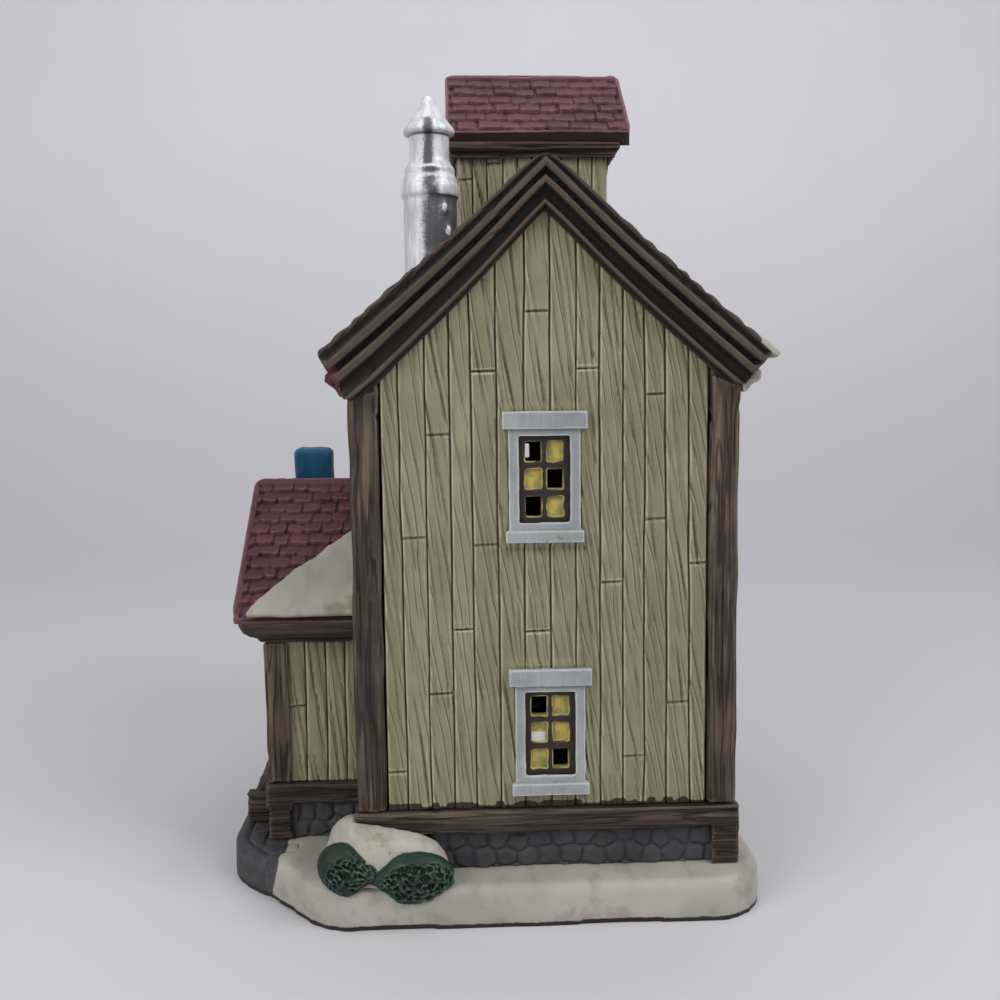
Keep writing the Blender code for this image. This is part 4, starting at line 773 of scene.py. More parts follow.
    def opening(self, low: Sequence[float], high: Sequence[float], lost: float) -> "Clay":
        """Cuts a square hole between two corners."""
        return self.pierce(lambda grow: Clay.block("hole", [v - grow for v in low],
                                                   [v + grow for v in high]), lost)

    def trim(self, point: Sequence[float], normal: Sequence[float]) -> "Clay":
        """Cuts off and closes what lies on the side that normal points to."""
        self.wake()
        bpy.ops.object.mode_set(mode="EDIT")
        bpy.ops.mesh.select_all(action="SELECT")
        bpy.ops.mesh.bisect(plane_co=Vector(point) * MM, plane_no=normal, use_fill=True,
                            clear_outer=True)
        bpy.ops.mesh.select_mode(type="EDGE")
        bpy.ops.mesh.select_all(action="DESELECT")
        bpy.ops.mesh.select_non_manifold(use_wire=False, use_multi_face=False,
                                         use_non_contiguous=False, use_verts=False)
        bpy.ops.mesh.fill_holes(sides=0)
        bpy.ops.object.mode_set(mode="OBJECT")
        return self

    def gabled(self, falls: int, top: float, slope: float) -> "Clay":
        """Cuts both slopes of a gable.

        Args:
            falls: axis along which the slopes fall, 0 for X and 1 for Y.
            top: height of the point.
            slope: rise over run.
        """
        c, s = lean(slope)
        for side in (-1, 1):
            self.trim((0, MIDDLE * falls, top), (side * s * (1 - falls), side * s * falls, c))
        return self

    def join(self, others: Sequence["Clay"]) -> "Clay":
        """Takes other pieces into this one."""
        self.wake()
        for other in others:
            other.obj.select_set(True)
        bpy.ops.object.join()
        return self

    def weather(self, span: float) -> "Clay":
        """Paints how hollow and how edge-like each vertex is, for a wash and worn paint together with
        painted shade in the hollows and painted highlight on the edges.

        Args:
            span: radius of a bend that counts fully, in millimetres.
        """
        mesh = self.obj.data
        points, normals = self.points(), self.normals()
        ends = np.zeros(len(mesh.edges) * 2, np.int64)
        mesh.edges.foreach_get("vertices", ends)
        a, b = ends.reshape(-1, 2).T
        d = points[b] - points[a]
        bend = ((normals[b] - normals[a]) * d).sum(1) / np.maximum((d * d).sum(1), 1e-6)
        count = np.bincount(a, minlength=len(points)) + np.bincount(b, minlength=len(points))
        value = np.bincount(a, bend, len(points)) + np.bincount(b, bend, len(points))
        value = value / np.maximum(count, 1)
        near = np.bincount(a, value[b], len(points)) + np.bincount(b, value[a], len(points))
        value = 0.5 * value + 0.5 * near / np.maximum(count, 1)
        # Hollows get a wash with painted shade, edges get worn paint with painted highlight.
        self.attribute("wash", np.clip(-value * span, 0, 1))
        self.attribute("rub", np.clip(value * span, 0, 1))
        return self

    def done(self, finish: str, nodes: Sequence[str], slot: str, body: str = "house",
             span: float = 0.5) -> "Clay":
        """Finishes the piece: worn paint with painted shade and highlight, smooth shading, material,
        body and the nodes it stands for.

        Args:
            finish: name of the finish.
            nodes: CAD nodes it replaces.
            slot: material slot; not used.
            body: CAD body it rides on.
            span: radius of a bend that is painted fully as a hollow or an edge.
        """
        low, high = (np.array(corner) / MM for corner in CAD_BOX)
        self.place(np.clip(self.points(), low, high))
        self.weather(span)
        self.wake()
        bpy.ops.object.shade_smooth_by_angle(angle=math.radians(SHARP_EDGE))
        self.obj.data.materials.clear()
        self.obj.data.materials.append(PAINTS[finish])
        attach(self.obj, body)
        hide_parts(*nodes)
        LOG.info("%s: %d faces, stands for %s", self.obj.name, len(self.obj.data.polygons),
                 ", ".join(nodes))
        return self


def node_box(node: str) -> tuple[Array, Array]:
    """Corners of a CAD node in millimetres."""
    low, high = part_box(node)
    return np.array(low) / MM, np.array(high) / MM


# Relief panels


@dataclass(frozen=True)
class Wall:
    """A flat face that carries a relief: a corner, two directions along it and one out of it."""

    origin: tuple[float, float, float]
    across: tuple[float, float, float]
    up: tuple[float, float, float]
    out: tuple[float, float, float]

    @classmethod
    def upright(cls, axis: int, side: int, face: float, start: float = 0.0,
                foot: float = 0.0) -> "Wall":
        """An upright face.

        Args:
            axis: 0 where it looks along X, 1 where it looks along Y.
            side: 1 or -1, the way it looks.
            face: its place on that axis.
            start: where its first direction starts.
            foot: where its second direction starts.
        """
        if axis == 0:
            return cls((face, start, foot), (0, 1, 0), (0, 0, 1), (side, 0, 0))
        return cls((start, face, foot), (1, 0, 0), (0, 0, 1), (0, side, 0))

    @classmethod
    def falling(cls, side: int, start: float, reach: float, top: float, slope: float) -> "Wall":
        """The upper face of a slope that falls along Y from the middle, from its eave up."""
        c, s = lean(slope)
        return cls((start, MIDDLE + side * reach, top - reach * slope), (1, 0, 0),
                   (0, -side * c, s), (0, side * s, c))

    def at(self, u: Array, v: Array, h: Array) -> Array:
        """Places for coordinates across, up and out."""
        axes = [np.array(a, float) for a in (self.across, self.up, self.out)]
        return (np.array(self.origin) + u[..., None] * axes[0] + v[..., None] * axes[1]
                + h[..., None] * axes[2])


@dataclass
class Relief:
    """A grid of points with a height and a tint, laid on a face and closed at the back."""

    u: Array
    v: Array
    height: Array
    tint: Array

    def clay(self, name: str, wall: Wall, deep: float) -> Clay:
        """Lays the grid out on a face and closes it at a depth behind the face."""
        rows, columns = self.u.shape
        clear()
        bpy.ops.mesh.primitive_grid_add(x_subdivisions=columns - 1, y_subdivisions=rows - 1,
                                        size=1)
        clay = Clay.fresh(name)
        flat = clay.points() * MM
        i = np.rint((flat[:, 0] + 0.5) * (columns - 1)).astype(int)
        j = np.rint((flat[:, 1] + 0.5) * (rows - 1)).astype(int)
        u, v = self.u[j, i], self.v[j, i]
        clay.place(wall.at(u, v, self.height[j, i]))
        clay.attribute("tint", self.tint[j, i])
        clay.attribute("at_u", u)
        clay.attribute("at_v", v)
        bpy.ops.object.mode_set(mode="EDIT")
        bpy.ops.mesh.select_mode(type="EDGE")
        bpy.ops.mesh.select_all(action="DESELECT")
        bpy.ops.mesh.select_non_manifold()
        bpy.ops.mesh.extrude_region_move()
        bpy.ops.object.mode_set(mode="OBJECT")
        points = clay.points()
        chosen = np.zeros(len(points), bool)
        clay.obj.data.vertices.foreach_get("select", chosen)
        u, v = clay.taken("at_u"), clay.taken("at_v")
        points[chosen] = wall.at(u, v, u * 0 - deep)[chosen]
        clay.place(points)
        bpy.ops.object.mode_set(mode="EDIT")
        bpy.ops.mesh.edge_face_add()
        bpy.ops.object.mode_set(mode="OBJECT")
        return clay.outward()


def sheet(width: float, height: float, step: float) -> tuple[Array, Array]:
    """Even grid over a rectangle, across and up from its lower corner."""
    columns, rows = (max(4, round(length / step)) for length in (width, height))
    return np.meshgrid(np.linspace(0, width, columns + 1), np.linspace(0, height, rows + 1))


@dataclass
class Boards:
    """Upright boards with grooves between them and butt joints across them.

    Grooves are pairs of places at the lower and the upper end; joints are places and heights.
    """

    grooves: Sequence[tuple[float, float]]
    joints: Sequence[tuple[float, float]]
    low: float
    high: float
    seed: int
    depth: float = 0.54
    half_groove: float = 0.27
    spacing: float = 0.25
    row_step: float = 0.85

    @classmethod
    def regular(cls, start: float, end: float, low: float, high: float, seed: int,
                pitch: float = 5.1) -> "Boards":
        """Boards of about one width with joints in a hand-made order."""
        rng = random.Random(seed)
        count = max(1, round((end - start) / pitch))
        places = [start + (end - start) * i / count for i in range(count + 1)]
        grooves = [(x + rng.uniform(-0.3, 0.3), x + rng.uniform(-0.3, 0.3)) for x in places[1:-1]]
        grooves = [(start, start), *grooves, (end, end)]
        joints = []
        for i in range(count):
            height = low + rng.uniform(0.15, 0.9) * (high - low)
            while rng.random() < 0.75 and len(joints) < 3 * count:
                joints.append(((places[i] + places[i + 1]) / 2, height))
                height -= rng.uniform(30, 55)
                if height < low + 5:
                    break
        return cls(grooves, joints, low, high, seed, spacing=0.37, row_step=1.25)

    def cuts(self, rng: random.Random, width: float) -> list[tuple[float, ...]]:
        """Slanting grain lines of one board: place, top, length, slant, bow and depth."""
        lanes = max(2, round(width / 1.8))
        made = []
        for lane in range(lanes):
            top = self.high + rng.uniform(0, 20)
            while top > self.low:
                length = rng.uniform(16, 38)
                made.append((width * (lane + rng.uniform(0.1, 0.9)) / lanes, top, length,
                             rng.uniform(0.09, 0.19), rng.uniform(-0.5, 0.5),
                             rng.uniform(0.24, 0.42)))
                top -= length * rng.uniform(0.6, 1.0)
        return made

    def relief(self) -> Relief:
        """Grid of the boards with its lines gathered at the grooves and joints."""
        rng = random.Random(self.seed)
        rows = set(np.round(np.arange(self.low, self.high + self.row_step / 2,
                                      self.row_step), 3))
        for _, height in self.joints:
            for step in (-0.9, -0.45, -0.2, 0.0, 0.2, 0.45, 0.9):
                if self.low < height + step < self.high:
                    rows.add(round(height + step, 3))
        v_line = np.array(sorted(rows))
        edge = self.half_groove
        u_all, h_all, t_all, lines = [], [], [], []
        for k, (low_x, high_x) in enumerate(self.grooves):
            share = (v_line - self.low) / (self.high - self.low)
            straight = low_x + (high_x - low_x) * share
            wobble = clouds_flat(v_line, v_line * 0 + k * 9.1, 11.0, self.seed + k) * 0.22
            inner = 0 < k < len(self.grooves) - 1
            lines.append(straight + (wobble if inner else 0))
        for k in range(len(lines) - 1):
            left, right = lines[k], lines[k + 1]
            width = right - left
            mean = float(np.mean(width))
            tint, lift = rng.random(), rng.uniform(-0.10, 0.08)
            twist = rng.uniform(-0.05, 0.07)
            cuts = self.cuts(rng, mean)
            count = max(4, round((mean - 2.4 * edge) / self.spacing))
            offsets = [("l", 0.0), ("l", 0.5), ("l", 0.85)]
            offsets += [("m", (1.2 * edge + (mean - 2.4 * edge) * i / count) / mean)
                        for i in range(count + 1)]
            offsets += [("r", 0.85), ("r", 0.5)]
            for side, amount in offsets:
                if side == "l":
                    u = left + amount * edge
                elif side == "r":
                    u = right - amount * edge
                else:
                    u = left + amount * width
                t = (u - left) / width
                sunk = 1 - np.minimum(smooth(u - left, 0.05 * edge, 0.95 * edge),
                                      smooth(right - u, 0.15 * edge, 1.8 * edge))
                h = lift + twist * (t - 0.5) * 2 - self.depth * sunk
                h += 0.12 * np.sin(np.pi * np.clip(t, 0, 1)) ** 0.5
                for place, top, length, slant, bow, deep in cuts:
                    f = (top - v_line) / length
                    line = place + slant * length * (f - 0.5) + bow * np.sin(np.pi * f)
                    ends = smooth(f, 0.0, 0.14) * smooth(1 - f, 0.0, 0.14)
                    h -= deep * ends * np.exp(-((u - left - line) / 0.23) ** 2) * (1 - sunk)
                for x, height in self.joints:
                    middle = np.interp(height, v_line, (left + right) / 2)
                    if abs(x - middle) < 0.5 * mean:
                        gap = np.abs(v_line - height - (t - 0.5) * 0.16)
                        h -= (self.depth - 0.12) * (1 - smooth(gap, 0.05, 0.42)) * (1 - sunk)
                        above = v_line > height
                        h += np.where(above, 0.06, -0.05) * (1 - sunk)
                h += clouds_flat(u, v_line, 3.0, self.seed + 31) * 0.06
                u_all.append(u)
                h_all.append(h)
                t_all.append(np.full_like(u, tint))
        u_all.append(lines[-1])
        h_all.append(np.full_like(v_line, -self.depth))
        t_all.append(t_all[-1])
        u = np.stack(u_all, 1)
        return Relief(u, np.repeat(v_line[:, None], u.shape[1], 1), np.stack(h_all, 1),
                      np.stack(t_all, 1))


@dataclass
class Courses:
    """Rows of rounded shingles on a slope, each row over the one below it."""

    width: float
    length: float
    exposure: float
    shingle: float
    seed: int
    lip: float = 0.9
    ridge_band: float = 1.6
    edge_band: float = 1.2
    eave_band: float = 0.6
    step: float = 0.38

    def relief(self) -> Relief:
        """Grid over the slope, across and up from its lower corner."""
        u, v = sheet(self.width, self.length, self.step)
        rng = np.random.default_rng(self.seed)
        sway = clouds_flat(u, v * 0.2, 22.0, self.seed) * 0.5
        row_at = (v + sway - self.eave_band) / self.exposure
        row = np.floor(row_at).astype(int)
        count = int(row.max()) + 3
        offsets = (np.arange(count + 2) % 2) * 0.5 + rng.uniform(-0.14, 0.14, count + 2)
        per_row = int(self.width / self.shingle) + 6
        jitter, drop, lift, tints, turn = (
            rng.uniform(low, high, (count + 2, per_row))
            for low, high in ((-0.2, 0.2), (-0.24, 0.16), (-0.16, 0.16), (0, 1), (-0.12, 0.12)))

        def layer(index: Array) -> tuple[Array, Array, Array]:
            """Height, distance up from the lower edge and tint of one row's shingles."""
            safe = np.clip(index + 1, 0, count)
            across = u / self.shingle + offsets[safe] + 2
            cell = np.clip(np.floor(across).astype(int), 1, per_row - 2)
            cell = np.where(across < cell + jitter[safe, cell], cell - 1, cell)
            left = cell + jitter[safe, cell]
            right = cell + 1 + jitter[safe, cell + 1]
            x = (across - left) * self.shingle
            wide = (right - left) * self.shingle
            side = np.clip(np.minimum(x, wide - x), 0, None)
            up = (v + sway - self.eave_band) - index * self.exposure
            up = up - drop[safe, cell] * self.exposure * 0.5
            up = up - turn[safe, cell] * (x - wide / 2)
            up = up - 0.45 * (1 - smooth(side, 0.0, 0.95))
            top = self.lip * (1 - up / (1.2 * self.exposure)) + lift[safe, cell]
            top = top + 0.10 * np.sin(np.pi * np.clip(x / wide, 0, 1))
            body = smooth(side, 0.0, 0.24)
            return top * body + (0.72 * top - 0.12) * (1 - body), up, tints[safe, cell]

        height, _, tint = layer(row - 1)
        for above in (0, 1):
            high, up, own = layer(row + above)
            cover = smooth(up, -0.02, 0.34)
            height = height * (1 - cover) + high * cover
            tint = np.where(cover > 0.5, own, tint)
        height = height - self.lip * 1.05
        border = np.minimum(np.minimum(u, self.width - u) - self.edge_band,
                            self.length - v - self.ridge_band)
        border += clouds_flat(u, v, 4.0, self.seed + 5) * 0.35
        in_field = smooth(border, -0.35, 0.25)
        height = height * in_field + (1 - in_field) * (-0.1)
        foot = smooth(v - self.eave_band, -0.5, 0.2)
        height = height * foot + (1 - foot) * (-self.lip * 0.55)
        height += clouds_flat(u, v, 1.6, self.seed + 9) * 0.06
        height += clouds_flat(u, v, 9.0, self.seed + 2) * 0.12
        tint = tint * in_field + 0.4 * (1 - in_field)
        return Relief(u, v, height, tint * 0.8)


@dataclass
class Masonry:
    """Rounded field stones in a band, with recessed joints."""

    width: float
    tall: float
    seed: int
    stone: float = 3.9
    depth: float = 0.55
    step: float = 0.34

    def relief(self) -> Relief:
        """Grid over the band, across and up from its lower corner."""
        u, v = sheet(self.width, self.tall, self.step)
        rng = np.random.default_rng(self.seed)
        courses = max(1, round(self.tall / (self.stone * 1.02)))
        seeds = []
        for course in range(-1, courses + 1):
            x = -self.stone + rng.uniform(0, self.stone)
            while x < self.width + self.stone:
                seeds.append((x, (course + 0.5 + rng.uniform(-0.2, 0.2)) * self.tall / courses))
                x += self.stone * rng.uniform(0.85, 1.3)
        seeds = np.array(seeds)
        warp_u = u + clouds_flat(u, v, 2.4, self.seed) * 0.45
        warp_v = v + clouds_flat(u, v, 2.4, self.seed + 1) * 0.45
        height = np.zeros_like(u)
        tint = np.zeros_like(u)
        for j in range(u.shape[0]):
            gap = np.hypot(warp_u[j][:, None] - seeds[None, :, 0],
                           (warp_v[j][:, None] - seeds[None, :, 1]) * 1.1)
            order = np.partition(gap, 1, axis=1)
            inside = order[:, 1] - order[:, 0]
            nearest = gap.argmin(1)
            tint[j] = (nearest * 0.37) % 1.0
            height[j] = self.depth * smooth(inside, 0.05, 1.5) - self.depth
            height[j] += ((nearest * 0.71) % 1.0 - 0.5) * 0.2 * smooth(inside, 0.1, 0.6)
        height += clouds_flat(u, v, 0.9, self.seed + 4) * 0.06
        return Relief(u, v, height, tint * 0.7)


# Sub-assemblies


@dataclass
class Plinth:
    """Snowy plinth, slate path, snow mound and the two clipped shrubs."""

    edge: Sequence[tuple[float, float]] = ((-57.4, 19.0), (-58.4, 4.0), (-60.0, -3.0))
    green_centre: tuple[float, float] = (-34.0, -10.5)
    shrubs_meet: float = -36.6

    def slate_share(self, p: Array) -> Array:
        """How far each point lies on the slate side of the snow, 0.5 at the boundary."""
        line_y = [point[1] for point in reversed(self.edge)]
        line_x = [point[0] for point in reversed(self.edge)]
        border = np.interp(p[:, 1], [*line_y, 88.0, 100.0], [*line_x, -57.0, -80.0])
        border = border - smooth(8.0 - p[:, 2], 0.0, 8.0) * 1.4
        wave = clouds(p, 5.0, 4) * 0.5
        return 0.5 + (border + wave - p[:, 0]) / 5.0

    def build(self) -> None:
        """Builds all ground pieces."""
        base = Clay.copy_of("plinth", "base_plinth").cast(1.0, 4)
        base.lumpy(16.0, 0.35, 3).lumpy(4.0, 0.10, 8)
        points = base.points()
        points[:, 2] = np.where(points[:, 2] < 0.6, 0.0, points[:, 2])
        base.place(points)
        base.attribute("slate", self.slate_share(points))
        base.attribute("foot", smooth(2.1 - points[:, 2], 0.0, 1.6))
        near = np.hypot(points[:, 0] - self.green_centre[0], points[:, 1] - self.green_centre[1])
        base.attribute("green", np.exp(-(near / 14.0) ** 2))
        base.done("snow_and_slate", ["base_plinth"], "warm_white_snow")

        path = Clay.copy_of("slate_path_stone", "slate_path").cast(0.4, 9)
        points = path.lumpy(5.0, 0.12, 5).points()
        points[:, 2] -= smooth(points[:, 2], 8.0, 9.0) * 0.25
        path.place(points).attribute("slate", self.slate_share(points) + 0.1)
        path.done("snow_and_slate", ["slate_path"], "slate_grey_stone")

        mound = Clay.copy_of("snow_mound_drift", "snow_mound").cast(0.55, 5)
        mound.lumpy(8.0, 0.8, 12).lumpy(2.5, 0.14, 13)
        p = mound.points()
        smear = smooth(clouds(p * np.array((0.35, 1.0, 1.4)), 3.0, 31), 0.0, 0.5)
        mound.attribute("over", 0.52 * smear * smooth(p[:, 2], 11.0, 15.5)
                        * smooth(p[:, 0], -42.0, -36.0))
        self.snow(mound, ["snow_mound"])
        for name, seed in (("left_shrub", 21), ("right_shrub", 22)):
            self.shrub(name, seed)

    def snow(self, clay: Clay, nodes: Sequence[str]) -> None:
        """Paints and finishes a heap of snow."""
        points = clay.points()
        clay.attribute("slate", points[:, 0] * 0).attribute("foot", points[:, 0] * 0)
        near = np.hypot(points[:, 0] - self.green_centre[0], points[:, 1] + 6.0)
        clay.attribute("green", np.exp(-(near / 9.0) ** 2) * (points[:, 2] < 30))
        clay.done("snow_and_slate", nodes, "warm_white_snow")

    def shrub(self, node: str, seed: int) -> None:
        """A clipped shrub: smooth lips round a field of twisted strands."""
        clay = Clay.copy_of(node + "_greens", node).cast(0.24, 4)
        low, high = node_box(node)
        rng = np.random.default_rng(seed)
        seeds = rng.uniform(low, high, (520, 3))
        points = clay.points()
        start, stop = points[:, 0].min(), points[:, 0].max()
        left_one = node.startswith("left")
        left, right = (low[0], -35.6) if left_one else (-37.4, high[0])
        points[:, 0] = left + (points[:, 0] - start) * (right - left) / (stop - start)
        waist = np.abs(points[:, 0] - self.shrubs_meet)
        squeeze = 0.5 + 0.5 * smooth(waist, 0.0, 6.0)
        middle = (low + high) / 2
        points[:, 2] = middle[2] + (points[:, 2] - middle[2]) * squeeze
        if left_one:
            points[:, 2] += (points[:, 0] - middle[0]) * -0.16
        clay.place(points)
        centre = middle + np.array((1.6, 0.0, -1.3) if left_one else (0.8, 0.0, -1.1))
        reach = (high - low) / 2

        def outness(p: Array) -> Array:
            """How far out in its front outline each point lies, 1 at the rim."""
            return np.linalg.norm(((p - centre) / reach)[:, [0, 2]], axis=1)

        def push(p: Array, n: Array) -> Array:
            """Strands between pits, fading out at the lips."""
            bent = p + np.stack([clouds(p, 2.0, seed + k) for k in range(3)], 1) * 0.5
            gap = np.linalg.norm(bent[:, None, :] - seeds[None], axis=2)
            order = np.partition(gap, 1, axis=1)
            strand = 1 - smooth(order[:, 1] - order[:, 0], 0.05, 0.5)
            lip = smooth(outness(p), 0.86, 0.98) * smooth(p[:, 2] - centre[2], -3.4, -1.6)
            return (strand * 0.6 - 0.5) * (1 - lip) + lip * 0.12

        clay.sculpt(push)
        p = clay.points()
        dark = 1 - smooth(outness(p), 0.7, 1.0)
        clay.attribute("tint", clouds(p, 3.0, seed) * 0.5 + 0.3 + dark * 0.9)
        clay.done("fir_green", [node], "dark_green_shrub")


@dataclass
class Footing:
    """Field stone footings of the house and of the wing."""

    deep: float = 4.6

    def build(self) -> None:
        """Builds both rings."""
        self.ring("main_footing", "main_foundation", 4, 40)
        self.ring("wing_footing", "wing_foundation", 3, 60)

    def ring(self, name: str, node: str, count: int, seed: int) -> None:
        """The first three or all four sides of a ring of stones."""
        low, high = node_box(node)
        clays = []
        for i, (axis, side) in enumerate(SIDES[:count]):
            wall = Wall.upright(axis, side, (high if side > 0 else low)[axis], low[1 - axis], low[2])
            grid = Masonry((high - low)[1 - axis], (high - low)[2], seed + i).relief()
            clays.append(grid.clay(name, wall, self.deep))
        clays[0].join(clays[1:])
        clays[0].done("slate_stones", [node], "slate_grey_stone")


NEAR_GROOVES = ((-29.4, -30.3), (-24.5, -24.7), (-19.5, -19.6), (-14.8, -15.5), (-9.7, -10.1),
                (-4.4, -4.1), (0.9, 1.0), (6.0, 6.5), (11.4, 11.2), (16.1, 15.9), (20.6, 20.5),
                (25.6, 24.5), (30.5, 29.2))
NEAR_JOINTS = ((-1.6, 126.2), (-12.6, 114.2), (8.7, 114.6), (23.3, 109.2), (-21.9, 101.4),
               (22.5, 83.4), (-26.8, 80.2), (-12.5, 78.5), (32.1, 74.0), (13.4, 70.3),
               (-17.4, 60.8), (-1.4, 60.2), (-21.7, 47.2), (27.7, 44.3), (18.4, 32.8),
               (-31.6, 30.6))


@dataclass
class Walls:
    """The four planked walls of the house."""

    thick: float = 3.5
    hole_half: float = 5.75
    hole_rise: tuple[float, float] = (3.6, 22.5)
    halo_half: tuple[float, float] = (7.6, 13.6)
    window_places: Sequence[tuple[float, float]] = ((0.6, 25.4), (-0.3, 79.0))

    def build(self) -> None:
        """Builds the walls."""
        self.gable("near_gable_boards", "near_gable_wall", 1)
        self.gable("far_gable_boards", "far_gable_wall", -1)
        self.side("front_boards", "front_wall", -1)
        self.side("back_boards", "back_wall", 1)

    def halo(self, grid: Relief) -> None:
        """Raises a soft lip of paint-covered slip round the windows."""
        for x, low in self.window_places:
            out_u = np.abs(grid.u - x) - self.halo_half[0]
            out_v = np.abs(grid.v - low - 13.5) - self.halo_half[1]
            far = np.maximum(out_u, out_v)
            grid.height += 0.42 * np.exp(-((far - 0.2) / 0.75) ** 2)

    def gable(self, name: str, node: str, mirror: int) -> None:
        """One gable wall with its two window holes."""
        low, high = node_box(node)
        if mirror > 0:
            grooves, joints = NEAR_GROOVES, NEAR_JOINTS
        else:
            grooves = tuple((-a, -b) for a, b in reversed(NEAR_GROOVES))
            joints = tuple((-x, 178.0 - z) for x, z in NEAR_JOINTS if z > 42)
        grooves = ((low[0], low[0]), *grooves, (high[0], high[0]))
        fine = (0.25, 0.85) if mirror > 0 else (0.34, 1.15)
        grid = Boards(grooves, joints, low[2], high[2] + 0.6, 5 + mirror, spacing=fine[0],
                      row_step=fine[1]).relief()
        self.halo(grid)
        face = 0.0 if mirror > 0 else HOUSE_DEPTH
        clay = grid.clay(name, Wall.upright(1, -mirror, face), self.thick)
        half, (foot, head) = self.hole_half, self.hole_rise
        for x, start in self.window_places:
            clay.opening((x - half, face - 9, start + foot), (x + half, face + 9, start + head),
                         2 * half * (head - foot) * self.thick)
        clay.gabled(0, high[2], ROOF_SLOPE)
        self.soil(clay, low[2] + 0.9, 33.6, 0)
        clay.done("olive_boards", [node], "olive_planks")

    @staticmethod
    def soil(clay: Clay, foot: float, post: float, axis: int) -> None:
        """Brown paint that strayed onto the boards along the beam and the posts."""
        p = clay.points()
        wave = clouds(p * np.array([1, 1, 0.3]), 1.7, 71) * 0.6
        beam = smooth(foot + wave - p[:, 2], -0.15, 0.25)
        side = smooth(np.abs(p[:, axis] - (0 if axis == 0 else MIDDLE)) + wave * 0.5 - post,
                      -0.2, 0.3)
        clay.attribute("over", np.maximum(beam, side * 0.8))

    def side(self, name: str, node: str, side: int) -> None:
        """One wall under an eave."""
        low, high = node_box(node)
        grid = Boards.regular(low[1], high[1], low[2], high[2] + 0.4, 30 + side).relief()
        clay = grid.clay(name, Wall.upright(0, side, side * WALL_REACH), self.thick)
        if side < 0:
            clay.opening((-50, 27, 26.4), (-30, 73, 60.4), 46.0 * 34.0 * self.thick)
        else:
            clay.pierce(lambda grow: turned("hole", [(LAMP_RADIUS + grow, 30.0),
                                                     (LAMP_RADIUS + grow, 50.0)],
                                            (0.0, MIDDLE, LAMP_HEIGHT), 64),
                        math.pi * LAMP_RADIUS ** 2 * self.thick)
        c, s = lean(ROOF_SLOPE)
        clay.trim((side * WALL_REACH, 0, WALL_PEAK - WALL_REACH * ROOF_SLOPE - 0.3),
                  (side * s, 0, c))
        self.soil(clay, low[2] + 0.9, 60.0, 1)
        clay.done("olive_boards", [node], "olive_planks")


def turned(name: str, profile: Sequence[tuple[float, float]], centre: Sequence[float],
           count: int, axis: str = "X") -> Clay:
    """A turned solid.

    Args:
        name: piece name.
        profile: radius and distance along the axis; both ends may have radius 0.
        centre: where the axis starts.
        count: points round the axis.
        axis: X or Z.
    """
    turn = np.linspace(0, 2 * math.pi, count, endpoint=False)
    rings = []
    for radius, along in profile:
        a, b = np.cos(turn) * max(radius, 0.02), np.sin(turn) * max(radius, 0.02)
        c = np.full(count, float(along))
        ring = np.stack([c, a, b], 1) if axis == "X" else np.stack([a, b, c], 1)
        rings.append(ring + np.array(centre, float))
    return Clay.loft(name, rings)


